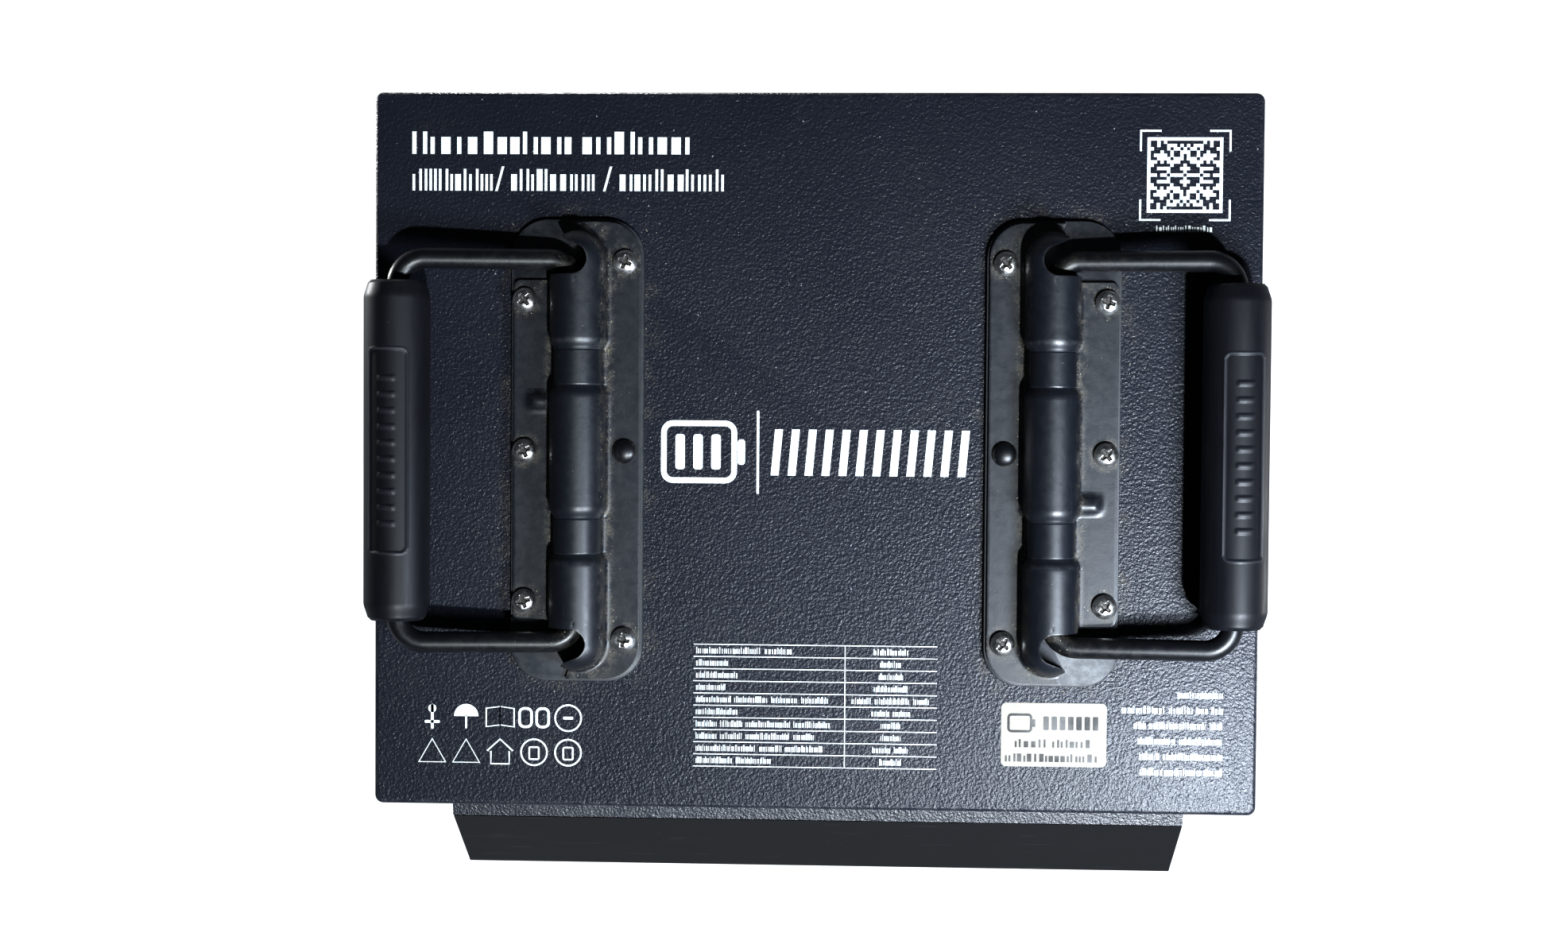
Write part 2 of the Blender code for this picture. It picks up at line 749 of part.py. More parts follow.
def make_cover(side, frame):
    """Pressed cover: flanges on the base plate, and a ridge over the bail's ends."""
    name = f"cover_{SIDE_NAMES[side]}"
    cover = extruded(name, rounded_outline(cover_outline()), FLANGE_LOW, FLANGE_HIGH)
    combine(cover, ridge_form(f"{name}_ridge", RIDGE_RADIUS, FLANGE_LOW + 0.0002), "UNION")
    combine(cover, ridge_form(f"{name}_hollow", RIDGE_RADIUS - SHEET, FLANGE_LOW - 0.002))
    for end in (-1, 1):
        low = ARM_Y * end - SLOT_HALF
        high = ARM_Y * end + SLOT_HALF
        slot_outline = [
            (-SLOT_REACH, low, SLOT_HALF - 0.0001),
            (0.014, low, 0),
            (0.014, high, 0),
            (-SLOT_REACH, high, SLOT_HALF - 0.0001),
        ]
        slot = extruded(
            f"{name}_slot_{end}", rounded_outline(slot_outline), FLANGE_HIGH + 0.0004, 0.012, "XY", CUTTERS
        )
        combine(cover, slot)
    holes = [(x, y, 0) for x, y in fastener_places()]
    cut_holes(cover, holes, HOLE_RADIUS, FLANGE_LOW - 0.002, FLANGE_HIGH + 0.002)
    dress(cover, "black_steel")
    attach([cover], frame)


def make_fasteners(side, frame):
    """Five pan-head screws and one domed rivet."""
    shank = HEAD_LOW - NUT_PLATE_LOW + 0.001
    dome = SCREW_HEAD_HEIGHT
    for index, (x, y) in enumerate(fastener_places()):
        rivet = index == len(fastener_places()) - 1
        name = f"rivet_{SIDE_NAMES[side]}" if rivet else f"handle_screw_{SIDE_NAMES[side]}_{index + 1}"
        profile = [
            (0.0, dome),
            (SCREW_HEAD_RADIUS * 0.55, dome * 0.93),
            (SCREW_HEAD_RADIUS * 0.86, dome * 0.68),
            (SCREW_HEAD_RADIUS, dome * 0.30),
            (SCREW_HEAD_RADIUS * 0.97, 0.0),
            (SCREW_RADIUS, 0.0),
            (SCREW_RADIUS, -shank),
            (0.0, -shank),
        ]
        fastener = turned(name, profile)
        fastener.location = (x, y, HEAD_LOW)
        dress(fastener, "black_steel" if rivet else "zinc")
        attach([fastener], frame)


def arc(centre, radius, start, end, steps=ARC_STEPS):
    """Points of an arc in the bail's own plane; angles in degrees from the outward direction."""
    points = []
    for step in range(steps + 1):
        angle = math.radians(start + (end - start) * step / steps)
        points.append((centre[0] + radius * math.cos(angle), centre[1] + radius * math.sin(angle)))
    return points


def bail_reach():
    """Distance from the hinge axis to the grip's centre along the tilted arms, and the tilt."""
    rise = OVERALL_HEIGHT - GRIP_RADIUS - LID_TOP - AXIS_HEIGHT
    return math.hypot(GRIP_X, rise), math.atan2(rise, GRIP_X)


def make_bail(side, frame):
    """Bent rod: two stubs on the hinge axis, two arms, and the bar that carries the grip."""
    reach, tilt = bail_reach()
    stub_end = 0.012
    half = [(0.0, stub_end)]
    half += arc((BAIL_BEND, ARM_Y - BAIL_BEND), BAIL_BEND, 180, 90)
    half += arc((reach - BAIL_CORNER, ARM_Y - BAIL_CORNER), BAIL_CORNER, 90, 0)
    path = half + [(x, -y) for x, y in reversed(half)]
    bail = rod(f"bail_{SIDE_NAMES[side]}", [(x, y, 0.0) for x, y in path], ROD_RADIUS)
    bail.rotation_euler = (0, -tilt, 0)
    dress(bail, "black_steel")
    attach([bail], frame)


def make_grip(side, frame):
    """Rubber sleeve on the bail's bar, with rounded ends."""
    reach, tilt = bail_reach()
    half = GRIP_LENGTH / 2
    bore = ROD_RADIUS + GAP
    ease = 0.0025
    profile = [(bore, half)]
    for step in range(ARC_STEPS):
        angle = math.radians(90 - 90 * step / (ARC_STEPS - 1))
        profile.append((GRIP_RADIUS - ease + ease * math.cos(angle), half - ease + ease * math.sin(angle)))
    profile += [(radius, -z) for radius, z in reversed(profile)]
    grip = turned(f"grip_{SIDE_NAMES[side]}", profile, 24, closed=True)
    grip.rotation_euler = (math.pi / 2, 0, 0)
    grip.location = (reach * math.cos(tilt), 0, reach * math.sin(tilt))
    dress(grip, "grip_rubber")
    attach([grip], frame)


def make_spring(side, frame):
    """Torsion spring round one stub, with a leg on the base plate and a leg over the bail's bend."""
    radius = ROD_RADIUS + 0.0004 + SPRING_WIRE_RADIUS
    start, end = -0.0225, -0.0435
    steps = SPRING_TURNS * 8
    points = [(0.0045, -0.0156, -radius), (0.0015, -0.0190, -radius)]
    for step in range(steps + 1):
        angle = math.radians(-90) + 2 * math.pi * (SPRING_TURNS + 0.5) * step / steps
        y = start + (end - start) * step / steps
        points.append((radius * math.cos(angle), y, radius * math.sin(angle)))
    points += [(0.0010, -0.0475, radius), (0.0032, -0.0520, radius)]
    spring = rod(f"spring_{SIDE_NAMES[side]}", points, SPRING_WIRE_RADIUS, sides=1)
    dress(spring, "spring_steel")
    attach([spring], frame)


def make_handle(side):
    frame = handle_frame(side)
    make_base_plate(side, frame)
    make_cover(side, frame)
    make_nut_plate(side, frame)
    make_fasteners(side, frame)
    make_bail(side, frame)
    make_grip(side, frame)
    make_spring(side, frame)


# ---------------------------------------------------------------- cells and electronics


def cell_place(number):
    """Centre of a cell, counted from 0: front to back on the left, then back to front on the right."""
    row = number if number < 4 else 7 - number
    side = -1 if number < 4 else 1
    return side * CELL_ROW_X, CELLS_FRONT + CELL_SIZE[1] / 2 + row * CELL_PITCH


def make_cells():
    for number in range(8):
        x, y = cell_place(number)
        width, depth, _ = CELL_SIZE
        cell = block(
            f"cell_{number + 1}",
            (x - width / 2, y - depth / 2, CELL_LOW),
            (x + width / 2, y + depth / 2, CELL_HIGH),
        )
        bevelled(cell, 0.002, 1)
        for post_side in (-1, 1):
            post = round_bar(
                f"cell_{number + 1}_post_{post_side}",
                POST_RADIUS,
                CELL_HIGH - 0.001,
                POST_TOP,
                (x + post_side * POST_X, y, 0),
                steps=16,
                collection=CUTTERS,
            )
            combine(cell, post, "UNION")
        dress(cell, "cell_wrap")


def stadium(low, high, width):
    """Outline of a bar with round ends, from one post to another along X or Y."""
    radius = width / 2 - 0.00002
    return rectangle(low[0] - width / 2, low[1] - width / 2, high[0] + width / 2, high[1] + width / 2, radius)


def make_busbars():
    """Bars that join the cells in series: alternate ends along each row, and one across the back."""
    for number in range(7):
        x, y = cell_place(number)
        next_x, next_y = cell_place(number + 1)
        if number == 3:
            first = (x + POST_X, y)
            second = (next_x - POST_X, next_y)
        else:
            inner = number in (1, 5)
            row_side = math.copysign(1, x)
            post = x - row_side * POST_X if inner else x + row_side * POST_X
            first = (post, min(y, next_y))
            second = (post, max(y, next_y))
        outline = rounded_outline(stadium(first, second, BUSBAR_WIDTH), 4)
        bar = extruded(f"busbar_{number + 1}", outline, BUSBAR_LOW, BUSBAR_HIGH)
        dress(bar, "copper")


def make_links():
    """Bent bars from the end cells: the negative one to the board, the positive one to the fuse."""
    _, first_y = cell_place(0)
    ends = {"link_negative": (-1, BOARD_TOP + GAP), "link_positive": (1, FUSE_LOW + FUSE_SIZE + GAP)}
    drop_y = {"link_negative": BOARD_BACK - 0.001, "link_positive": BOARD_BACK - 0.002}
    for name, (side, low) in ends.items():
        x = side * (CELL_ROW_X - POST_X)
        front = drop_y[name] - BUSBAR_THICKNESS / 2
        outline = [
            (front, low),
            (front + BUSBAR_THICKNESS, low),
            (front + BUSBAR_THICKNESS, BUSBAR_LOW),
            (first_y + BUSBAR_WIDTH / 2, BUSBAR_LOW),
            (first_y + BUSBAR_WIDTH / 2, BUSBAR_HIGH),
            (front, BUSBAR_HIGH),
        ]
        link = extruded(name, outline, x - BUSBAR_WIDTH / 2, x + BUSBAR_WIDTH / 2, "YZ")
        dress(link, "copper")


def make_electronics():
    board = block("bms_board", (-0.100, BOARD_BACK - BOARD_THICKNESS, 0.030), (0.100, BOARD_BACK, BOARD_TOP))
    dress(board, "board")
    fin_count = 8
    pitch = 0.014
    base = SINK_BACK - 0.004
    outline = [(-0.060, SINK_BACK)]
    left = -(fin_count - 1) * pitch / 2
    for fin in range(fin_count):
        middle = left + fin * pitch
        outline += [(middle - 0.002, base), (middle - 0.002, SINK_FRONT)]
        outline += [(middle + 0.002, SINK_FRONT), (middle + 0.002, base)]
    outline[1:1] = [(-0.060, base)]
    outline += [(0.060, base), (0.060, SINK_BACK)]
    sink = extruded("bms_heatsink", outline, 0.036, 0.140)
    dress(sink, "aluminium")
    fuse_x = CELL_ROW_X - POST_X
    fuse = block(
        "main_fuse",
        (fuse_x - 0.016, BOARD_BACK - 0.012, FUSE_LOW),
        (fuse_x + 0.016, BOARD_BACK + 0.008, FUSE_LOW + FUSE_SIZE),
    )
    bevelled(fuse, 0.002, 2)
    dress(fuse, "fuse_body")


def make_sheets():
    half = CELL_SIZE[0] + CELL_GAP
    sheet_low = BUSBAR_HIGH + GAP
    cover = block("top_insulator", (-half, CELLS_FRONT, sheet_low), (half, CELLS_BACK, sheet_low + 0.001))
    dress(cover, "insulation")
    pad = block(
        "base_pad", (-half, CELLS_FRONT, SHEET + GAP), (half, CELLS_BACK, SHEET + GAP + BASE_PAD_THICKNESS)
    )
    dress(pad, "foam")


def smooth_round_pieces():
    for thing in PARTS.objects:
        if thing.type == "MESH":
            thing.data.shade_smooth()
            thing.data.set_sharp_from_angle(angle=math.radians(35))


def main():
    make_case_body()
    make_lid()
    make_lid_screws()
    make_console_hood()
    make_console_fascia()
    make_power_socket()
    make_data_socket()
    make_status_lens()
    for side in (-1, 1):
        make_handle(side)
    make_cells()
    make_busbars()
    make_links()
    make_electronics()
    make_sheets()
    smooth_round_pieces()
    bpy.context.view_layer.update()


main()
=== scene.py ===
"""Looks of a battery pack in a powder-coated steel case, with two sprung folding handles on its lid.

Everything is in metres, in the frame's own axes: +X right, +Y back, +Z up out of the lid.
A handle is drawn in its own frame, with its origin on the hinge axis, +X outward and +Y along the axis.
"""

import json
import math
import random

import bmesh
import bpy
from mathutils import Matrix, Vector


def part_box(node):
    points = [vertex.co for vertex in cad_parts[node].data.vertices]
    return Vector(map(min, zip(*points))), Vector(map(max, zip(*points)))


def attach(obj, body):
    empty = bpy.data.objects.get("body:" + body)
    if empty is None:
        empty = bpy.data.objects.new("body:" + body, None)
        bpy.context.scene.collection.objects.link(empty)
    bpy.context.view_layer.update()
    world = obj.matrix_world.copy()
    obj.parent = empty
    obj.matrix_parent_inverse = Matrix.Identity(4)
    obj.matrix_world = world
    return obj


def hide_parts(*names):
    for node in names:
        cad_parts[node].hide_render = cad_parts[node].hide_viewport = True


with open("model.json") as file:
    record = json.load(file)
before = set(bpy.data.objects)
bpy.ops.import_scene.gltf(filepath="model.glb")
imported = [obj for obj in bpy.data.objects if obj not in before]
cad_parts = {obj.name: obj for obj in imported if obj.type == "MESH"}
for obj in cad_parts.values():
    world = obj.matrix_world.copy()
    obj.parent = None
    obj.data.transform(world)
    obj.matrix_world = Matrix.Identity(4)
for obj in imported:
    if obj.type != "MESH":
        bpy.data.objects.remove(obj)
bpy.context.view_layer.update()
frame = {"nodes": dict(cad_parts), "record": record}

MM = 0.001
SHEET = 1.2 * MM
GAP = 0.3 * MM

lid_low, lid_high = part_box("lid")
LID_TOP = lid_high.z
LID_MIDDLE = Vector(((lid_low.x + lid_high.x) / 2, (lid_low.y + lid_high.y) / 2, LID_TOP))

hinges = {
    joint["child"]: Vector(joint["pos_m"])
    for joint in frame["record"]["behaviour"]["joints"]
}
SIDES = {"left": math.pi, "right": 0.0}

# Handle sizes in its own frame, read from the unturned right-hand one
hinge = hinges["handle_right"]
cover_low, cover_high = (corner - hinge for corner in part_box("cover_right"))
plate_low, plate_high = (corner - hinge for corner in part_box("base_plate_right"))
grip_low, grip_high = (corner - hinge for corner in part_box("grip_right"))
head_low, head_high = (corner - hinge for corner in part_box("handle_screw_right_1"))
RIDGE_RADIUS = cover_high.z
FLANGE_TOP = plate_high.z + GAP + SHEET
FLANGE_BOTTOM = plate_high.z + GAP
RIDGE_END = 68.0 * MM
DOME_CENTRE = RIDGE_END - RIDGE_RADIUS
WAIST_CENTRE = 26.0 * MM
WAIST_HALF = 5.5 * MM
WAIST_STEP = 3.0 * MM
WAIST_DEPTH = 1.3 * MM
OUTER_FLANGE_HALF = 53.0 * MM
PLATE_CORNER = 11.5 * MM
COVER_INSET = 0.9 * MM
ARM_Y = 59.0 * MM
SLOT_HALF = 4.7 * MM
SLOT_REACH = 3.7 * MM
ROD_RADIUS = 3.25 * MM
GRIP_CENTRE = (grip_low + grip_high) / 2
GRIP_RADIUS = (grip_high.z - grip_low.z) / 2
GRIP_HALF = (grip_high.y - grip_low.y) / 2
SCREW_RADIUS = (head_high.x - head_low.x) / 2
SCREW_HEAD = 2.4 * MM
TANG_PLACE = Vector((13.2 * MM, -15.6 * MM))
PLATE_HALF = ((plate_high.x - plate_low.x) / 2, (plate_high.y - plate_low.y) / 2)
PLATE_MIDDLE = (plate_high.x + plate_low.x) / 2
PLATE_CENTRES = [
    (hinges[f"handle_{side}"].x + PLATE_MIDDLE * math.cos(turn), hinges[f"handle_{side}"].y)
    for side, turn in SIDES.items()
]

# ---------------------------------------------------------------- node materials


class Tree:
    """A node tree under construction: small helpers that add one node each."""

    def __init__(self, tree):
        self.tree = tree

    def add(self, kind, inputs=(), **settings):
        """Adds a node. Its inputs are numbers, tuples or other nodes' outputs, by name or number."""
        node = self.tree.nodes.new(kind)
        for key, value in settings.items():
            setattr(node, key, value)
        for key, value in dict(inputs).items():
            self.join(value, node.inputs[key])
        return node

    def join(self, source, target):
        if isinstance(source, tuple) and target.type == "RGBA" and len(source) == 3:
            target.default_value = (*source, 1.0)
        elif isinstance(source, (int, float, tuple)):
            target.default_value = source
        else:
            self.tree.links.new(source, target)

    def step(self, value, low, high, start=0.0, end=1.0):
        """Smooth step of a value between two limits, onto a range of results."""
        inputs = {"Value": value, "From Min": low, "From Max": high, "To Min": start, "To Max": end}
        return self.add("ShaderNodeMapRange", inputs, interpolation_type="SMOOTHSTEP").outputs["Result"]

    def parts(self, vector):
        """The X, Y and Z of a vector."""
        return self.add("ShaderNodeSeparateXYZ", {0: vector}).outputs


class Nodes(Tree):
    """A material under construction."""

    def __init__(self, name):
        self.material = bpy.data.materials.new(name)
        self.material.use_nodes = True
        super().__init__(self.material.node_tree)
        self.shader = self.tree.nodes["Principled BSDF"]
        self.place = self.add("ShaderNodeTexCoord").outputs["Object"]

    def streaks(self, scale, detail, rough, degrees=0.0):
        """Noise drawn out into streaks, by a scale for each axis and a turn about Z."""
        turn = (0.0, 0.0, math.radians(degrees))
        mapping = self.add("ShaderNodeMapping", {"Scale": scale, "Rotation": turn, "Vector": self.place})
        return self.noise(1.0, detail, rough, mapping.outputs["Vector"])

    def noise(self, size, detail=2.0, rough=0.5, place=None):
        inputs = {"Scale": 1.0 / size, "Detail": detail, "Roughness": rough, "Vector": place or self.place}
        return self.add("ShaderNodeTexNoise", inputs).outputs["Fac"]

    def cells(self, size):
        """Distance from the nearest cell's centre, and two random numbers of that cell."""
        cell = self.add("ShaderNodeTexVoronoi", {"Scale": 1.0 / size, "Vector": self.place})
        split = self.add("ShaderNodeSeparateColor", {0: cell.outputs["Color"]})
        return cell.outputs["Distance"], split.outputs[0], split.outputs[1]

    def math(self, operation, first, second=0.0, third=0.0):
        inputs = {0: first, 1: second, 2: third}
        return self.add("ShaderNodeMath", inputs, operation=operation).outputs[0]

    def times(self, first, second):
        return self.math("MULTIPLY", first, second)

    def mix(self, factor, first, second):
        return self.add("ShaderNodeMix", {0: factor, 6: first, 7: second}, data_type="RGBA").outputs[2]

    def lay(self, colour, share, amount, over):
        """Covers a colour with another, by a share of an amount."""
        return self.mix(self.times(share, amount), colour, over)

    def stain(self, colour, value, low, high, amount, over):
        """Covers a colour with another, up to an amount, where a value passes between two limits."""
        return self.mix(self.step(value, low, high, 0.0, amount), colour, over)

    def attribute(self, name):
        return self.add("ShaderNodeAttribute", attribute_name=name).outputs["Fac"]

    def bump(self, height, depth, below=None):
        """Depth is in metres."""
        inputs = {"Strength": 1.0, "Distance": depth, "Height": height}
        if below is not None:
            inputs["Normal"] = below
        return self.add("ShaderNodeBump", inputs).outputs["Normal"]

    def folds(self):
        """One on faces that look along no axis, such as folded and rounded edges, and 0 on flat walls."""
        facing = self.parts(self.add("ShaderNodeNewGeometry").outputs["True Normal"])
        x, y, z = (self.math("ABSOLUTE", facing[axis]) for axis in range(3))
        return self.step(self.math("MAXIMUM", self.math("MAXIMUM", x, y), z), 0.9995, 0.985)

    def finish(self, colour, roughness, normal=None, **fixed):
        self.join(colour, self.shader.inputs["Base Color"])
        self.join(roughness, self.shader.inputs["Roughness"])
        if normal is not None:
            self.join(normal, self.shader.inputs["Normal"])
        for key, value in fixed.items():
            self.shader.inputs[key.replace("_", " ")].default_value = value
        return self.material


def dust_specks(nodes, size, reach, share):
    """Small pale dots, one at most in each cell of a size, in a share of the cells."""
    distance, chance, _ = nodes.cells(size)
    radius = nodes.step(chance, 1.0 - share, 1.0, 0.0, reach / size)
    return nodes.math("LESS_THAN", distance, radius)


def beside_both_plates(nodes, spread):
    """One at the edge of either base plate, on the lid, falling to 0 a spread away from it."""
    place = nodes.parts(nodes.place)
    shares = []
    for centre in PLATE_CENTRES:
        outside = []
        for axis in range(2):
            away = nodes.math("ABSOLUTE", nodes.math("SUBTRACT", place[axis], centre[axis]))
            away = nodes.math("SUBTRACT", away, PLATE_HALF[axis] - PLATE_CORNER)
            outside.append(nodes.math("POWER", nodes.math("MAXIMUM", away, 0.0), 2.0))
        distance = nodes.math("SQRT", nodes.math("ADD", *outside))
        shares.append(nodes.step(distance, PLATE_CORNER + spread, PLATE_CORNER))
    return nodes.math("MAXIMUM", *shares)


def powder_coat(name, beside_plates=False, gloss=1.42):
    """Dark navy textured powder coat, with dust, faint wiping marks and worn folds."""
    nodes = Nodes(name)
    grain = nodes.noise(0.86 * MM, 2.0, 0.5)
    fine = nodes.noise(0.40 * MM, 2.0, 0.5)
    cloud = nodes.noise(60 * MM, 4.0, 0.6)
    colour = nodes.mix(cloud, (0.0105, 0.0125, 0.0205), (0.0140, 0.0165, 0.0260))
    wipe = nodes.streaks((1400.0, 45.0, 60.0), 4.0, 0.7, 34.0)
    colour = nodes.stain(colour, wipe, 0.60, 0.78, 0.10, (0.08, 0.08, 0.085))
    haze = nodes.times(nodes.noise(22 * MM, 5.0, 0.65), nodes.noise(1.6 * MM, 4.0, 0.7))
    colour = nodes.stain(colour, haze, 0.26, 0.50, 0.14, (0.075, 0.070, 0.062))
    coarse = dust_specks(nodes, 4.0 * MM, 0.26 * MM, 0.50)
    specks = nodes.math("MAXIMUM", coarse, dust_specks(nodes, 1.7 * MM, 0.13 * MM, 0.40))
    colour = nodes.lay(colour, specks, 0.45, (0.50, 0.51, 0.54))
    roughness = nodes.step(cloud, 0.3, 0.7, 0.33, 0.37)
    if beside_plates:
        grains = nodes.step(nodes.noise(0.55 * MM, 4.0, 0.8), 0.50, 0.62)
        patches = nodes.step(nodes.noise(11 * MM, 4.0, 0.7), 0.46, 0.66)
        near = beside_both_plates(nodes, 7.0 * MM)
        laid = nodes.times(near, nodes.times(grains, patches))
        colour = nodes.lay(colour, laid, 0.85, (0.150, 0.128, 0.088))
        crumbs = dust_specks(nodes, 1.5 * MM, 0.20 * MM, 0.55)
        crumbs = nodes.times(beside_both_plates(nodes, 26.0 * MM), crumbs)
        colour = nodes.lay(colour, crumbs, 0.80, (0.42, 0.38, 0.30))
        roughness = nodes.math("MULTIPLY_ADD", laid, 0.25, roughness)
    wear = nodes.times(nodes.folds(), nodes.step(nodes.noise(7 * MM, 4.0, 0.7), 0.35, 0.75))
    colour = nodes.lay(colour, wear, 0.30, (0.10, 0.10, 0.11))
    roughness = nodes.math("MULTIPLY_ADD", specks, 0.3, roughness)
    normal = nodes.bump(fine, 0.055 * MM, nodes.bump(grain, 0.245 * MM))
    return nodes.finish(colour, roughness, normal, IOR=gloss)


def coated_steel(name, base, shine, coat=1.64):
    """Satin electrocoat on pressed steel: fine ripple, rubbed spots, and dust where the mesh says it lies."""
    nodes = Nodes(name)
    ripple = nodes.noise(2.4 * MM, 3.0, 0.6)
    fine = nodes.noise(0.30 * MM, 2.0, 0.5)
    cloud = nodes.noise(14 * MM, 4.0, 0.6)
    lighter = tuple(1.8 * part for part in base)
    colour = nodes.mix(cloud, base, lighter)
    grime_and_shade = nodes.noise(3.4 * MM, 5.0, 0.75)
    scuffs = nodes.streaks((900.0, 60.0, 200.0), 3.0, 0.7, 20.0)
    colour = nodes.stain(colour, scuffs, 0.60, 0.76, 0.06, (0.13, 0.13, 0.13))
    laid = nodes.attribute("dust_and_shade")
    grains = nodes.step(nodes.noise(0.50 * MM, 4.0, 0.8), 0.46, 0.58)
    film = nodes.times(laid, nodes.step(grime_and_shade, 0.40, 0.62))
    film = nodes.times(film, nodes.math("MULTIPLY_ADD", grains, 0.90, 0.10))
    colour = nodes.lay(colour, film, 0.85, (0.165, 0.142, 0.098))
    crumbs = dust_specks(nodes, 1.0 * MM, 0.17 * MM, 0.55)
    crumbs = nodes.times(nodes.step(laid, 0.02, 0.5), crumbs)
    colour = nodes.lay(colour, crumbs, 0.85, (0.44, 0.40, 0.31))
    edge = nodes.times(nodes.attribute("edge"), nodes.step(grime_and_shade, 0.35, 0.65))
    colour = nodes.lay(colour, edge, 0.22, (0.12, 0.12, 0.125))
    specks = dust_specks(nodes, 2.6 * MM, 0.15 * MM, 0.35)
    colour = nodes.lay(colour, specks, 0.40, (0.36, 0.36, 0.34))
    roughness = nodes.step(grime_and_shade, 0.3, 0.7, shine, shine + 0.10)
    roughness = nodes.math("MULTIPLY_ADD", film, 0.30, roughness)
    normal = nodes.bump(fine, 0.012 * MM, nodes.bump(ripple, 0.026 * MM))
    return nodes.finish(colour, roughness, normal, IOR=coat)


def grip_rubber():
    """Moulded rubber: fine matt grain, paler where hands rub it; the raised bead and ribs are painted paler
    still, partly as rubbed wear and partly as a painted highlight.
    """
    nodes = Nodes("grip_rubber")
    grain = nodes.noise(0.35 * MM, 3.0, 0.6)
    rub = nodes.noise(9 * MM, 4.0, 0.65)
    colour = nodes.mix(rub, (0.0036, 0.0042, 0.0066), (0.0062, 0.0070, 0.0105))
    # Painted highlight and rubbed wear: the raised bead and ribs that the mesh marks are made paler.
    raised_wear_and_highlight = nodes.times(nodes.attribute("edge"), nodes.step(rub, 0.2, 0.6, 0.5, 1.0))
    colour = nodes.lay(colour, raised_wear_and_highlight, 0.35, (0.075, 0.080, 0.095))
    lint = dust_specks(nodes, 4.0 * MM, 0.14 * MM, 0.35)
    colour = nodes.lay(colour, lint, 0.4, (0.35, 0.35, 0.35))
    scuff = nodes.streaks((300.0, 40.0, 300.0), 3.0, 0.7)
    roughness = nodes.step(scuff, 0.3, 0.7, 0.44, 0.54)
    normal = nodes.bump(grain, 0.016 * MM)
    return nodes.finish(colour, roughness, normal, IOR=1.42)


def plated(name, colour, shine, tarnish=(0.30, 0.27, 0.22)):
    """Plated or bare metal, with fine turning marks and dull patches, and painted shade, near black, in a
    screw's driver recess and round its head's rim.
    """
    nodes = Nodes(name)
    patches = nodes.noise(1.6 * MM, 5.0, 0.7)
    fine = nodes.noise(0.22 * MM, 3.0, 0.6)
    tint = nodes.stain(colour, patches, 0.50, 0.80, 0.75, tarnish)
    # The attribute read here is set only on the screws: it paints shade, near black, into the driver recess
    # and round the head's rim.
    grime_and_shade = nodes.attribute("dust_and_shade")
    tint = nodes.lay(tint, grime_and_shade, 0.88, (0.030, 0.026, 0.020))
    roughness = nodes.step(patches, 0.35, 0.75, shine, shine + 0.20)
    roughness = nodes.math("MULTIPLY_ADD", grime_and_shade, 0.35, roughness)
    normal = nodes.bump(fine, 0.004 * MM)
    return nodes.finish(tint, roughness, normal, Metallic=1.0)


def moulded(name, colour, roughness, grain_size=0.5 * MM, grain=0.02 * MM):
    """Moulded plastic or a plain film: fine grain, faint colour drift, wiping marks and specks of dust."""
    nodes = Nodes(name)
    dust_and_shade = (0.20, 0.20, 0.20)
    drift = nodes.noise(30 * MM, 4.0, 0.6)
    tint = nodes.mix(drift, colour, tuple(1.35 * part for part in colour))
    marks = nodes.streaks((30.0, 900.0, 300.0), 3.0, 0.7, 8.0)
    tint = nodes.stain(tint, marks, 0.62, 0.80, 0.18, dust_and_shade)
    specks = dust_specks(nodes, 4.5 * MM, 0.17 * MM, 0.35)
    tint = nodes.lay(tint, specks, 0.6, dust_and_shade)
    height = nodes.noise(grain_size, 3.0, 0.6)
    rough = nodes.step(drift, 0.3, 0.7, roughness, roughness + 0.04)
    return nodes.finish(tint, rough, nodes.bump(height, grain), IOR=1.5)


def ink(name, colour):
    """Screen-printed ink: it follows the coat's texture and is thin in places."""
    nodes = Nodes(name)
    grain = nodes.noise(0.62 * MM, 3.0, 0.55)
    thin = nodes.noise(0.30 * MM, 3.0, 0.7)
    tint = nodes.stain(colour, thin, 0.58, 0.80, 0.55, tuple(0.45 * part for part in colour))
    tint = nodes.mix(nodes.step(nodes.noise(12 * MM, 3.0), 0.4, 0.7, 0.0, 0.2), tint, (0.50, 0.50, 0.48))
    return nodes.finish(tint, nodes.step(thin, 0.3, 0.7, 0.5, 0.65), nodes.bump(grain, 0.05 * MM))


def sticker_foil():
    """Pale beige matt film with rubbed, darker patches and fine brushing."""
    nodes = Nodes("sticker_foil")
    brush = nodes.streaks((250.0, 4200.0, 300.0), 3.0, 0.6)
    cloud = nodes.noise(6 * MM, 4.0, 0.65)
    tint = nodes.mix(cloud, (0.26, 0.240, 0.200), (0.35, 0.330, 0.285))
    tint = nodes.stain(tint, brush, 0.45, 0.75, 0.35, (0.38, 0.365, 0.33))
    rubbed = nodes.step(nodes.noise(2 * MM, 5.0, 0.8), 0.55, 0.75, 0.0, 0.4)
    tint = nodes.mix(rubbed, tint, (0.15, 0.115, 0.080))
    roughness = nodes.step(cloud, 0.3, 0.7, 0.50, 0.62)
    return nodes.finish(tint, roughness, nodes.bump(brush, 0.01 * MM))


def circuit_board():
    """Green solder mask over copper tracks."""
    nodes = Nodes("circuit_board")
    _, _, chance = nodes.cells(6 * MM)
    tracks = nodes.step(nodes.streaks((140.0, 1.0, 900.0), 2.0, 0.5), 0.52, 0.56)
    tint = nodes.mix(tracks, (0.010, 0.060, 0.030), (0.020, 0.120, 0.055))
    tint = nodes.mix(nodes.step(chance, 0.80, 0.82), tint, (0.012, 0.012, 0.013))
    return nodes.finish(tint, nodes.step(tracks, 0.0, 1.0, 0.35, 0.28), nodes.bump(tracks, 0.03 * MM))


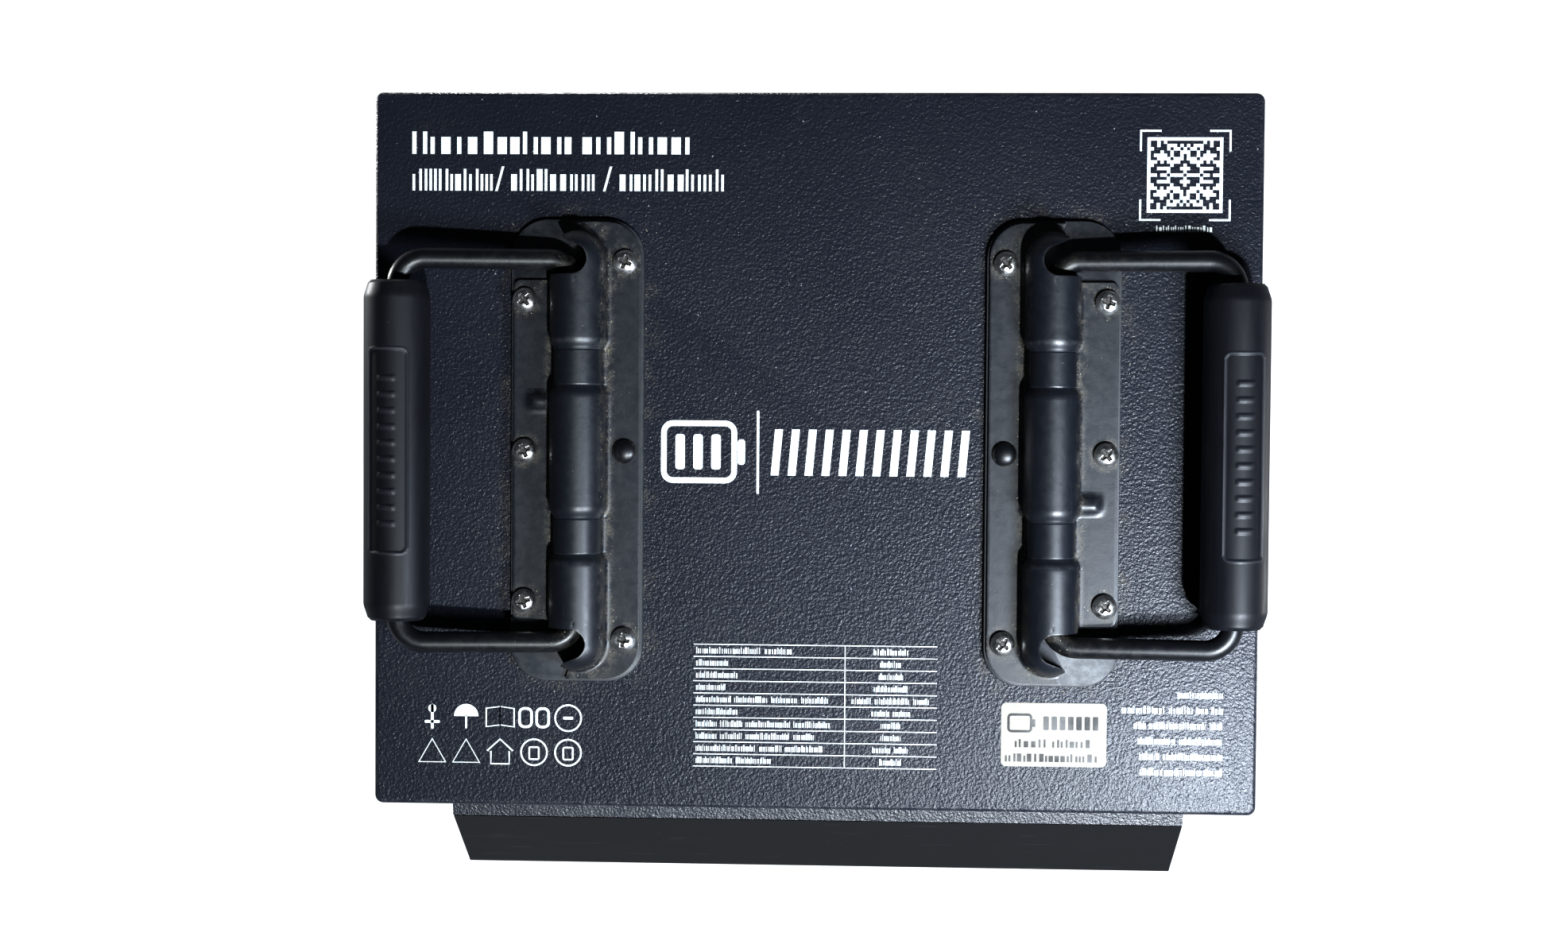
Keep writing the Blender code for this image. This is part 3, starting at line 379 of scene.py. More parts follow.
COAT = powder_coat("powder_coat", gloss=1.58)
LID_COAT = powder_coat("lid_coat", beside_plates=True)
HANDLE_STEEL = coated_steel("handle_steel", (0.0050, 0.0066, 0.0102), 0.38)
PLATE_STEEL = coated_steel("plate_steel", (0.0075, 0.0098, 0.0142), 0.50)
ROD_STEEL = coated_steel("rod_steel", (0.0030, 0.0036, 0.0050), 0.34, 1.55)
RUBBER = grip_rubber()
ZINC = plated("zinc_plate", (0.74, 0.74, 0.73), 0.26)
PRINT = ink("white_ink", (0.76, 0.81, 0.81))
DARK_PRINT = ink("dark_ink", (0.022, 0.020, 0.019))

# ---------------------------------------------------------------- mesh helpers


def object_from(form, name):
    """Turns a bmesh into an object in the scene."""
    mesh = bpy.data.meshes.new(name)
    form.to_mesh(mesh)
    form.free()
    return linked(name, mesh)


def linked(name, data):
    thing = bpy.data.objects.new(name, data)
    bpy.context.scene.collection.objects.link(thing)
    return thing


def piece_from(form, name, body, material, replaced=(), smooth=35.0):
    """Makes a visible piece from a bmesh: dressed, shaded, and riding on its body."""
    bmesh.ops.recalc_face_normals(form, faces=form.faces)
    piece = object_from(form, name)
    piece.data.materials.append(material)
    piece.data.shade_smooth()
    piece.data.set_sharp_from_angle(angle=math.radians(smooth))
    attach(piece, body)
    if replaced:
        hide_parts(*replaced)
    return piece


def handle_matrix(side):
    return Matrix.Translation(hinges[f"handle_{side}"]) @ Matrix.Rotation(SIDES[side], 4, "Z")


def moved(form, matrix):
    bmesh.ops.transform(form, matrix=matrix, verts=form.verts)
    return form


def joined_rings(form, rings, skip=None):
    """Faces between rings of equal length. Skip says which quads to leave out."""
    count = len(rings[0])
    for level, (ring, following) in enumerate(zip(rings, rings[1:])):
        for index in range(count):
            beside = (index + 1) % count
            corners = (ring[index], ring[beside], following[beside], following[index])
            if skip and skip(level, index):
                continue
            if len(set(corners)) == 4:
                form.faces.new(corners)


def capped_rings(form, rings):
    """A closed solid from rings, with a flat face at each end."""
    joined_rings(form, rings)
    form.faces.new(list(reversed(rings[0])))
    form.faces.new(rings[-1])


def fan(form, ring, centre):
    for index, vert in enumerate(ring):
        form.faces.new((vert, ring[(index + 1) % len(ring)], centre))


def evaluated(form, modifiers):
    """Runs modifiers, each a (type, settings) pair, over a bmesh and gives the result as a new bmesh."""
    thing = object_from(form, "working")
    for number, (kind, settings) in enumerate(modifiers):
        modifier = thing.modifiers.new(f"step_{number}", kind)
        for key, value in settings.items():
            setattr(modifier, key, value)
    depsgraph = bpy.context.evaluated_depsgraph_get()
    result = bmesh.new()
    result.from_mesh(thing.evaluated_get(depsgraph).to_mesh())
    bpy.data.objects.remove(thing, do_unlink=True)
    return result


def helper_object(form, name):
    """An object made only to cut another. It is removed when the cut is done."""
    bmesh.ops.recalc_face_normals(form, faces=form.faces)
    return object_from(form, name)


THICKEN = ("SOLIDIFY", {"thickness": SHEET, "offset": -1.0, "use_even_offset": True})


def cut_by(cutters, form, before=(), after=()):
    """Takes cutters away from a bmesh, between other modifiers, and then removes them."""
    cuts = []
    for cutter in cutters:
        cuts.append(("BOOLEAN", {"operation": "DIFFERENCE", "solver": "EXACT", "object": cutter}))
    form = evaluated(form, [*before, *cuts, *after])
    for cutter in cutters:
        bpy.data.objects.remove(cutter, do_unlink=True)
    return form


def arc_points(centre, radius, start, end, steps):
    """Points of an arc, with its angles in degrees."""
    points = []
    for step in range(steps + 1):
        angle = math.radians(start + (end - start) * step / steps)
        points.append((centre[0] + radius * math.cos(angle), centre[1] + radius * math.sin(angle)))
    return points


def rounded_rectangle(low, high, radius, steps=6):
    """Outline, anticlockwise, of a rectangle between two corners with rounded corners."""
    (left, bottom), (right, top) = low, high
    points = arc_points((right - radius, bottom + radius), radius, -90, 0, steps)
    points += arc_points((right - radius, top - radius), radius, 0, 90, steps)
    points += arc_points((left + radius, top - radius), radius, 90, 180, steps)
    points += arc_points((left + radius, bottom + radius), radius, 180, 270, steps)
    return points


def slab(form, outline, low, high, ease=0.0):
    """Adds a flat solid with an outline; ease is the width of its small top chamfer."""
    centre = sum((Vector(point) for point in outline), Vector((0.0, 0.0))) / len(outline)
    levels = [(low, 0.0), (high - ease, 0.0)]
    if ease:
        levels += [(high - 0.3 * ease, 0.3 * ease), (high, ease)]
    rings = []
    for z, inset in levels:
        ring = []
        for point in outline:
            offset = Vector(point) - centre
            offset *= max(1.0 - inset / max(offset.length, 1e-9), 0.0)
            ring.append(form.verts.new((*(centre + offset), z)))
        rings.append(ring)
    capped_rings(form, rings)


def tube(form, path, radius, sides=24):
    """Adds a round rod along a path of points, with closed, slightly eased ends."""
    rings = []
    up = Vector((0.0, 0.0, 1.0))
    last = len(path) - 1
    eased = 0.86
    stations = [(0, eased)] + [(index, 1.0) for index in range(last + 1)] + [(last, eased)]
    for index, share in stations:
        before = path[max(index - 1, 0)]
        after = path[min(index + 1, last)]
        along = (after - before).normalized()
        side = along.cross(up).normalized()
        top = side.cross(along).normalized()
        centre = path[index]
        if share < 1.0:
            centre = centre + along * (radius * 0.12) * (1 if index else -1)
        ring = []
        for step in range(sides):
            angle = 2 * math.pi * step / sides
            offset = side * math.cos(angle) + top * math.sin(angle)
            ring.append(form.verts.new(centre + offset * radius * share))
        rings.append(ring)
    capped_rings(form, rings)


def smooth_step(value, low, high):
    share = min(max((value - low) / (high - low), 0.0), 1.0)
    return share * share * (3 - 2 * share)


def paint(form, name, amount):
    """Stores a number at each vertex: the same for all, or from a function of its place."""
    layer = form.verts.layers.float.new(name)
    for vert in form.verts:
        vert[layer] = amount(vert.co) if callable(amount) else amount


# ---------------------------------------------------------------- handle pieces


def fastener_places():
    """Screw places in the handle's own frame, in the order of the nodes, and the rivet's last."""
    outer = [(17.0 * MM, y * MM) for y in (-46.8, 0.0, 46.8)]
    inner = [(-14.2 * MM, y * MM) for y in (-58.6, 58.6)]
    return outer + inner + [(-14.2 * MM, 0.0)]


def ridge_width(y):
    """Outer radius of the ridge along its straight length, with two waists edged by fine pressing lines."""
    away = abs(abs(y) - WAIST_CENTRE) - WAIST_HALF
    line = 0.16 * MM * math.exp(-((away / (0.22 * MM)) ** 2))
    return RIDGE_RADIUS - WAIST_DEPTH * (1.0 - smooth_step(away, 0.0, WAIST_STEP)) - line


def inside_cover_outline(x, y):
    """True inside the cover's rounded outline, which is a little smaller than the base plate."""
    low = Vector((plate_low.x + COVER_INSET, plate_low.y + COVER_INSET))
    high = Vector((plate_high.x - COVER_INSET, plate_high.y - COVER_INSET))
    radius = PLATE_CORNER - COVER_INSET
    nearest_x = min(max(x, low.x + radius), high.x - radius)
    nearest_y = min(max(y, low.y + radius), high.y - radius)
    return math.hypot(x - nearest_x, y - nearest_y) <= radius


def reach_of(spine_y, direction):
    """How far the inner flange and the end flanges reach from the ridge's spine in a direction."""
    near, far = RIDGE_RADIUS, 40.0 * MM
    for _ in range(24):
        middle = (near + far) / 2
        if inside_cover_outline(direction.x * middle, spine_y + direction.y * middle):
            near = middle
        else:
            far = middle
    return near


def straight_places():
    """Places along the ridge's straight length, closer together at the ends of the waists."""
    places = {round(-DOME_CENTRE + 2 * DOME_CENTRE * step / 108, 7) for step in range(109)}
    for end in (-1, 1):
        for side in (-1, 1):
            line = end * (WAIST_CENTRE + side * WAIST_HALF)
            places = {place for place in places if abs(place - line) > 1.0 * MM}
            places |= {round(line + step * 0.14 * MM, 7) for step in range(-7, 8)}
    return sorted(places)


def cover_stations():
    """Places round the ridge: spine place, outward direction, flange reach (0 where there is no flange)."""
    stations = []
    corner = 2.0 * MM
    outer_reach = plate_high.x - COVER_INSET
    lengthwise = straight_places()
    ys = [y for y in lengthwise if abs(abs(y) - OUTER_FLANGE_HALF) > 0.5 * MM]
    for end in (-1, 1):
        for inward in (-0.02, 0.0, 0.15, 0.6, 1.2, 2.0):
            ys.append(end * (OUTER_FLANGE_HALF - inward * MM))
    for y in sorted(ys):
        reach = 0.0
        beyond = OUTER_FLANGE_HALF - abs(y)
        if beyond >= -1e-9:
            short = max(corner - beyond, 0.0)
            reach = outer_reach - corner + math.sqrt(max(corner**2 - short**2, 0.0))
        stations.append((y, Vector((1.0, 0.0)), reach))
    fan_steps = 28

    def round_end(centre, start):
        for step in range(1, fan_steps):
            angle = start + math.pi * step / fan_steps
            direction = Vector((math.cos(angle), math.sin(angle)))
            has_flange = math.radians(68) < angle < math.radians(292)
            stations.append((centre, direction, reach_of(centre, direction) if has_flange else 0.0))

    round_end(DOME_CENTRE, 0.0)
    for y in reversed(lengthwise):
        direction = Vector((-1.0, 0.0))
        stations.append((y, direction, reach_of(y, direction)))
    round_end(-DOME_CENTRE, math.pi)
    return stations


def tang_rise(x, y):
    """Height of the pressed tunnel over the spring's tang, on the outer flange."""
    across = abs(y - TANG_PLACE.y)
    along = 1.0 - smooth_step(x, TANG_PLACE.x, TANG_PLACE.x + 3.8 * MM)
    return 2.0 * MM * along * (1.0 - smooth_step(across, 0.6 * MM, 3.6 * MM))


def cover_profile(width, reach):
    """Offsets and heights from the ridge's top down to the flange's edge."""
    fillet = 1.5 * MM
    profile = []
    for step in range(13):
        angle = math.radians(90 * step / 12)
        profile.append((width * math.sin(angle), width * math.cos(angle)))
    foot = FLANGE_TOP + fillet
    if reach <= 0.0:
        profile += [(width, foot + (FLANGE_BOTTOM - foot) * step / 6) for step in range(1, 7)]
        profile += [(width, FLANGE_BOTTOM)] * 12
        return profile
    profile.append((width, foot))
    for step in range(1, 6):
        angle = math.radians(90 * step / 5)
        profile.append((width + fillet - fillet * math.cos(angle), foot - fillet * math.sin(angle)))
    start = width + fillet
    profile += [(start + (reach - start) * step / 12, FLANGE_TOP) for step in range(1, 13)]
    return profile


def cover_skin():
    """The cover's outer surface as rings that run from the ridge's spine down and out."""
    stations = cover_stations()
    form = bmesh.new()
    columns = []
    for spine_y, direction, reach in stations:
        width = ridge_width(spine_y)
        column = []
        for offset, height in cover_profile(width, reach):
            x = direction.x * offset
            y = spine_y + direction.y * offset
            if reach > 0.0 and height <= FLANGE_TOP + 1.5 * MM and x > 0.0:
                height += tang_rise(x, y)
            column.append(form.verts.new((x, y, height)))
        columns.append(column)
    rings = list(zip(*columns))
    lone = [reach <= 0.0 for _, _, reach in stations]
    count = len(stations)

    def skip(level, index):
        beside = (index + 1) % count
        if level < 13:
            return False
        if level < 18:
            return lone[index] != lone[beside]
        return lone[index] or lone[beside]

    joined_rings(form, [list(ring) for ring in rings], skip=skip)
    bmesh.ops.remove_doubles(form, verts=form.verts, dist=0.004 * MM)
    loose = [vert for vert in form.verts if not vert.link_faces]
    bmesh.ops.delete(form, geom=loose, context="VERTS")
    bmesh.ops.recalc_face_normals(form, faces=form.faces)
    if sum(face.normal.z for face in form.faces) < 0:
        bmesh.ops.reverse_faces(form, faces=form.faces)
    return form


SLOT_HOOK = ((0.8, 4.9), (2.2, 5.5), (3.5, 6.2), (4.5, 7.1), (5.1, 8.3))


def slot_cutter(end):
    """Slot that lets the bail's arm swing up: round inside, swept out to a hooked tip at the cover's end."""
    outline = arc_points((SLOT_HALF - SLOT_REACH, 0.0), SLOT_HALF, 270, 112, 22)
    outline += [(x * MM, y * MM) for x, y in SLOT_HOOK]
    outline += [(16.0 * MM, SLOT_HOOK[-1][1] * MM), (16.0 * MM, -SLOT_HALF)]
    outline = [(x, end * (ARM_Y + y)) for x, y in outline]
    form = bmesh.new()
    slab(form, outline[::-end], FLANGE_BOTTOM - 1.0 * MM, 20.0 * MM)
    return helper_object(form, f"slot_{end}")


def near_ridge_foot(place):
    """Share of dust at a place: thick along the ridge's foot and round the screws."""
    spine = max(abs(place.y) - DOME_CENTRE, 0.0)
    distance = math.hypot(place.x, spine) - RIDGE_RADIUS
    wide = 1.0 + 1.6 * smooth_step(abs(place.y), 44.0 * MM, 56.0 * MM)
    waist = 1.0 - smooth_step(abs(abs(place.y) - WAIST_CENTRE), WAIST_HALF, WAIST_HALF + WAIST_STEP)
    foot = 1.0 - smooth_step(distance, 0.8 * MM, 3.0 * MM * wide)
    foot *= smooth_step(distance, -2.0 * MM, -0.2 * MM)
    amount = foot * (0.62 + 0.38 * waist)
    for x, y in fastener_places()[:-1]:
        around = math.hypot(place.x - x, place.y - y) - SCREW_RADIUS
        amount = max(amount, 0.75 * (1.0 - smooth_step(around, 0.2 * MM, 2.6 * MM)))
    return amount


def make_cover(side):
    form = evaluated(cover_skin(), [THICKEN])
    cutters = [slot_cutter(end) for end in (-1, 1)]
    rounding = {"width": 0.28 * MM, "segments": 2, "limit_method": "ANGLE", "angle_limit": math.radians(50)}
    form = cut_by(cutters, form, after=[("BEVEL", rounding)])
    paint(form, "dust_and_shade", near_ridge_foot)
    sharp = [edge for edge in form.edges if edge.calc_face_angle(0.0) > 0.4]
    marked = {vert.index for edge in sharp for vert in edge.verts}
    form.verts.index_update()
    layer = form.verts.layers.float.new("edge")
    for vert in form.verts:
        vert[layer] = 1.0 if vert.index in marked else 0.0
    moved(form, handle_matrix(side))
    piece_from(
        form, f"cover_skin_{side}", "pack", HANDLE_STEEL, [f"cover_{side}"], smooth=40.0
    )


def make_base_plate(side):
    outline = rounded_rectangle(
        (plate_low.x, plate_low.y), (plate_high.x, plate_high.y), PLATE_CORNER, steps=14
    )
    form = bmesh.new()
    slab(form, outline, plate_low.z, plate_high.z, ease=0.45 * MM)
    paint(form, "dust_and_shade", 0.10)
    paint(form, "edge", 0.3)
    moved(form, handle_matrix(side))
    piece_from(
        form, f"base_plate_skin_{side}", "pack", PLATE_STEEL, [f"base_plate_{side}"]
    )


def cross_recess(x, y):
    """Depth of a cross-shaped driver recess, with sloping walls."""
    long_way, short_way = max(abs(x), abs(y)), min(abs(x), abs(y))
    arm = 1.0 - smooth_step(short_way, 0.36 * MM, 0.62 * MM)
    arm *= 1.0 - smooth_step(long_way, 1.7 * MM, 2.25 * MM)
    hub = 1.0 - smooth_step(math.hypot(x, y), 0.6 * MM, 1.15 * MM)
    return max(1.15 * MM * arm * (1.0 - 0.25 * long_way / (2 * MM)), 1.3 * MM * hub)


def turned_form(profile, steps):
    """A turned solid whose profile, (radius, z), starts and ends on the axis."""
    form = bmesh.new()
    rings = []
    for radius, z in profile[1:-1]:
        ring = []
        for step in range(steps):
            angle = 2 * math.pi * step / steps
            ring.append(form.verts.new((radius * math.cos(angle), radius * math.sin(angle), z)))
        rings.append(ring)
    joined_rings(form, rings)
    fan(form, rings[0], form.verts.new((0.0, 0.0, profile[0][1])))
    fan(form, list(reversed(rings[-1])), form.verts.new((0.0, 0.0, profile[-1][1])))
    return form


def head_height(radius):
    """Height of a domed pan head at a radius."""
    share = min(radius / SCREW_RADIUS, 1.0)
    return SCREW_HEAD * (1.0 - 0.62 * share**3.2) * (1.0 - 0.10 * share**2)


def make_fastener(side, number, x, y, turn):
    """A cross-recess pan-head screw, or the domed rivet when there is no turn."""
    tip = head_low.z - head_high.z + SCREW_HEAD
    top_rings = 26
    profile = [(0.0, SCREW_HEAD)]
    for step in range(1, top_rings + 1):
        radius = SCREW_RADIUS * step / top_rings
        profile.append((radius, head_height(radius)))
    profile += [(SCREW_RADIUS, 0.12 * MM), (SCREW_RADIUS - 0.12 * MM, 0.0)]
    shank, chamfer = 2.0 * MM, 0.4 * MM
    profile += [(shank, 0.0), (shank, tip + chamfer), (shank - chamfer, tip), (0.0, tip)]
    form = turned_form(profile, 72)
    is_screw = turn is not None
    if is_screw:
        # Painted shade for the plated material: near 1 in the driver recess and 0.45 round the head's rim.
        grime_and_shade = form.verts.layers.float.new("dust_and_shade")
        for vert in form.verts:
            depth = cross_recess(vert.co.x, vert.co.y) if vert.co.z > 0.2 * MM else 0.0
            rim = smooth_step(math.hypot(vert.co.x, vert.co.y), 3.3 * MM, 3.8 * MM)
            vert[grime_and_shade] = max(smooth_step(depth, 0.10 * MM, 0.55 * MM), 0.45 * rim)
            vert.co.z -= depth
        moved(form, Matrix.Rotation(turn, 4, "Z"))
    else:
        for vert in form.verts:
            if vert.co.z > 0.0:
                share = min(math.hypot(vert.co.x, vert.co.y) / SCREW_RADIUS, 1.0)
                vert.co.z = max(SCREW_HEAD * math.sqrt(max(1.0 - share**2, 0.0)), vert.co.z * 0.12)
        paint(form, "dust_and_shade", lambda place: 0.6 * smooth_step(math.hypot(place.x, place.y), 3.0 * MM, 3.8 * MM))
    paint(form, "edge", 0.0)
    base = head_high.z - SCREW_HEAD
    moved(form, handle_matrix(side) @ Matrix.Translation((x, y, base)))
    node = f"handle_screw_{side}_{number}" if is_screw else f"rivet_{side}"
    material = ZINC if is_screw else ROD_STEEL
    piece_from(form, f"{node}_skin", "pack", material, [node], smooth=50.0)


def make_fasteners(side):
    turns = random.Random(f"screws {side}")
    places = fastener_places()
    for number, (x, y) in enumerate(places[:-1], start=1):
        make_fastener(side, number, x, y, turns.uniform(0.0, math.pi / 2))
    make_fastener(side, 0, *places[-1], None)


def bail_path():
    """Centre line of the bent rod, in the handle's own frame."""
    reach = math.hypot(GRIP_CENTRE.x, GRIP_CENTRE.z)
    tilt = math.atan2(GRIP_CENTRE.z, GRIP_CENTRE.x)
    bend, corner = 8.0 * MM, 8.5 * MM
    half = [(0.0, 12.0 * MM), (0.0, 30.0 * MM)]
    half += arc_points((bend, ARM_Y - bend), bend, 180, 90, 14)
    half += arc_points((reach - corner, ARM_Y - corner), corner, 90, 0, 16)
    flat = half + [(x, -y) for x, y in reversed(half)]
    return [Vector((x * math.cos(tilt), y, x * math.sin(tilt))) for x, y in flat]


def make_bail(side):
    form = bmesh.new()
    tube(form, bail_path(), ROD_RADIUS, 32)
    paint(form, "dust_and_shade", lambda place: 0.45 * (1.0 - smooth_step(place.x, 3.0 * MM, 10.0 * MM)))
    paint(form, "edge", 0.0)
    moved(form, handle_matrix(side))
    piece_from(form, f"bail_rod_{side}", f"handle_{side}", ROD_STEEL, [f"bail_{side}"])


PANEL_HALF_LENGTH = 31.0 * MM
PANEL_HALF_WIDTH = 6.6 * MM
PANEL_ANGLE = math.radians(7.5)
PANEL_CORNER = 1.8 * MM


def panel_distance(arc, along):
    """Signed distance, on the grip's surface, from the edge of its sunk rounded panel."""
    x = abs(arc) - (PANEL_HALF_WIDTH - PANEL_CORNER)
    y = abs(along) - (PANEL_HALF_LENGTH - PANEL_CORNER)
    outside = math.hypot(max(x, 0.0), max(y, 0.0))
    return outside + min(max(x, y), 0.0) - PANEL_CORNER


def grip_radius(angle, along):
    """Radius of the grip, and how much of an edge there is: shoulders, sunk panel, bead and cross ribs."""
    end = GRIP_HALF - abs(along)
    shoulder = 1.3 * MM * (1.0 - smooth_step(end, 0.0, 5.5 * MM))
    lip = 0.8 * MM * (1.0 - smooth_step(end, 0.0, 1.0 * MM))
    radius = GRIP_RADIUS - shoulder - lip
    arc = (angle - PANEL_ANGLE) * GRIP_RADIUS
    distance = panel_distance(arc, along)
    bead = 1.0 - smooth_step(abs(distance), 0.10 * MM, 0.38 * MM)
    radius -= 0.30 * MM * (1.0 - smooth_step(distance, -0.5 * MM, 0.1 * MM)) + 0.20 * MM
    radius += 0.20 * MM * bead
    pitch = 4.9 * MM
    rib = abs((along / pitch) % 1.0 - 0.5) * pitch
    rib_share = 1.0 - smooth_step(rib, 0.45 * MM, 0.95 * MM)
    rib_share *= 1.0 - smooth_step(abs(arc), 2.4 * MM, 3.0 * MM)
    rib_share *= 1.0 - smooth_step(abs(along), 24.5 * MM, 24.6 * MM)
    radius += 0.30 * MM * rib_share
    return radius, max(bead, 0.30 * rib_share)


def make_grip(side):
    """Rubber sleeve, with a rounded panel of plain cross ribs sunk in its upper, outer face."""
    form = bmesh.new()
    round_steps, long_steps = 132, 300
    edge_layer = form.verts.layers.float.new("edge")
    rings = []
    for step in range(long_steps + 1):
        along = -GRIP_HALF + 2 * GRIP_HALF * step / long_steps
        ring = []
        for turn in range(round_steps):
            angle = 2 * math.pi * turn / round_steps
            wrapped = (angle + math.pi) % (2 * math.pi) - math.pi
            radius, edge = grip_radius(wrapped, along)
            vert = form.verts.new((radius * math.sin(angle), along, radius * math.cos(angle)))
            vert[edge_layer] = edge
            ring.append(vert)
        rings.append(ring)
    joined_rings(form, rings)
    bore = ROD_RADIUS + GAP
    for ring, sign in ((rings[0], -1), (rings[-1], 1)):
        inner = []
        for vert in ring:
            share = bore / math.hypot(vert.co.x, vert.co.z)
            inner.append(form.verts.new((vert.co.x * share, vert.co.y, vert.co.z * share)))
        deep = [form.verts.new((vert.co.x, vert.co.y - sign * 5.0 * MM, vert.co.z)) for vert in inner]
        joined_rings(form, [ring, inner, deep])
        form.faces.new(deep)
    place = Matrix.Translation((GRIP_CENTRE.x, 0.0, GRIP_CENTRE.z))
    moved(form, handle_matrix(side) @ place)
    piece_from(form, f"grip_sleeve_{side}", f"handle_{side}", RUBBER, [f"grip_{side}"], 48.0)


# ---------------------------------------------------------------- the lid

LID_FOLD = 1.4 * MM
LID_CORNER = 2.6 * MM
LID_HOLE = 2.4 * MM


def lid_form():
    """The lid's outer surface: flat top, rounded folds and a skirt, open underneath."""
    form = bmesh.new()
    fold_steps = 8
    levels = []
    for step in range(fold_steps + 1):
        angle = math.radians(90 * step / fold_steps)
        levels.append((LID_FOLD * (1 - math.sin(angle)), lid_high.z - LID_FOLD * (1 - math.cos(angle))))
    levels.append((0.0, lid_low.z))
    rings = []
    for inset, z in levels:
        outline = rounded_rectangle(
            (lid_low.x + inset, lid_low.y + inset),
            (lid_high.x - inset, lid_high.y - inset),
            max(LID_CORNER - inset, 0.6 * MM),
            8,
        )
        rings.append([form.verts.new((x, y, z)) for x, y in outline])
    joined_rings(form, rings)
    form.faces.new(rings[0])
    return form


def hole_cutter(name, places, radius, low, high, turn=None):
    """Round bars, for cutting holes, along Z or turned to lie along X."""
    form = bmesh.new()
    for place in places:
        bar = bmesh.new()
        slab(bar, arc_points((0.0, 0.0), radius, 0, 352.5, 47), low, high)
        if turn:
            moved(bar, turn)
        moved(bar, Matrix.Translation(place))
        mesh = bpy.data.meshes.new("bar")
        bar.to_mesh(mesh)
        bar.free()
        form.from_mesh(mesh)
        bpy.data.meshes.remove(mesh)
    return helper_object(form, name)


def make_lid():
    places = []
    for side in SIDES:
        matrix = handle_matrix(side)
        places += [matrix @ Vector((x, y, 0.0)) for x, y in fastener_places()]
    tops = [Vector((place.x, place.y, LID_TOP)) for place in places]
    skirts = []
    for number in range(1, 5):
        low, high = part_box(f"lid_screw_{number}")
        skirts.append((low + high) / 2)
        screw_head = (high.y - low.y) / 2
    across = Matrix.Rotation(math.pi / 2, 4, "Y")
    cutters = [
        hole_cutter("top_holes", tops, LID_HOLE, -5 * MM, 5 * MM),
        hole_cutter("skirt_holes", skirts, screw_head + 0.3 * MM, -8 * MM, 8 * MM, across),
    ]
    form = lid_form()
    bmesh.ops.recalc_face_normals(form, faces=form.faces)
    if max(form.faces, key=lambda face: face.calc_area()).normal.z < 0:
        bmesh.ops.reverse_faces(form, faces=form.faces)
    form = cut_by(cutters, form, before=[THICKEN])
    piece_from(form, "lid_skin", "pack", LID_COAT, ["lid"], smooth=32.0)


# ---------------------------------------------------------------- printing on the lid

INK_LOW = LID_TOP + 0.02 * MM
INK_HIGH = LID_TOP + 0.06 * MM


class Printing:
    """Flat printed shapes, collected into one piece. Places are in millimetres from the lid's middle."""

    def __init__(self, name, material, low=INK_LOW, high=INK_HIGH):
        self.name = name
        self.material = material
        self.low = low
        self.high = high
        self.form = bmesh.new()
        self.dice = random.Random(name)

    def shape(self, points):
        outline = [(LID_MIDDLE.x + x * MM, LID_MIDDLE.y + y * MM) for x, y in points]
        slab(self.form, outline, self.low, self.high)

    def box(self, left, bottom, right, top):
        self.shape([(left, bottom), (right, bottom), (right, top), (left, top)])

    def bar(self, left, right, middle, height, round_share=0.3):
        radius = min(height * round_share, (right - left) / 2.01)
        low = (left, middle - height / 2)
        high = (right, middle + height / 2)
        self.shape(rounded_rectangle(low, high, radius, 4))

    def words(self, left, base, height, lengths, gap, stroke):
        """Plain upright strokes on a base line in place of words: they spell nothing."""
        for length in lengths:
            x = left
            while x < left + length - stroke:
                width = min(stroke * self.dice.choice((1.0, 1.0, 1.0, 2.2)), left + length - x)
                top = base + height * self.dice.choice((1.0, 0.76, 0.76))
                self.box(x, base, x + width, top)
                x += width + stroke * self.dice.choice((0.75, 1.0, 1.5))
            left += length + gap

    def ring(self, points, width):
        """Closed outline drawn with a line of a width."""
        count = len(points)
        outer, inner = [], []
        for index, point in enumerate(points):
            before = Vector(points[index - 1])
            after = Vector(points[(index + 1) % count])
            along = (after - before).normalized()
            square = Vector((along.y, -along.x)) * width / 2
            outer.append(Vector(point) + square)
            inner.append(Vector(point) - square)
        for index in range(count):
            beside = (index + 1) % count
            self.shape([outer[index], outer[beside], inner[beside], inner[index]])

    def done(self):
        return piece_from(self.form, self.name, "pack", self.material)


def regular(centre, radius, sides):
    return arc_points(centre, radius, 90.0, 90.0 + 360.0 * (sides - 1) / sides, sides - 1)


def print_heading():
    """Two lines of plain strokes: a bold one and a light one."""
    heading = Printing("print_heading", PRINT)
    heading.words(-126.3, 92.4, 7.0, (50.0, 34.4), 3.4, 1.35)
    base, height, thin = 81.0, 6.8, 0.85
    for left, length in ((-126.2, 26.2), (-95.2, 26.2), (-61.2, 33.6)):
        heading.words(left, base, height, (length,), 0.0, thin)
    for left in (-98.8, -65.0):
        heading.shape([(left - 1.4, 80.9), (left - 0.6, 80.9), (left + 1.5, 88.6), (left + 0.7, 88.6)])
    heading.done()


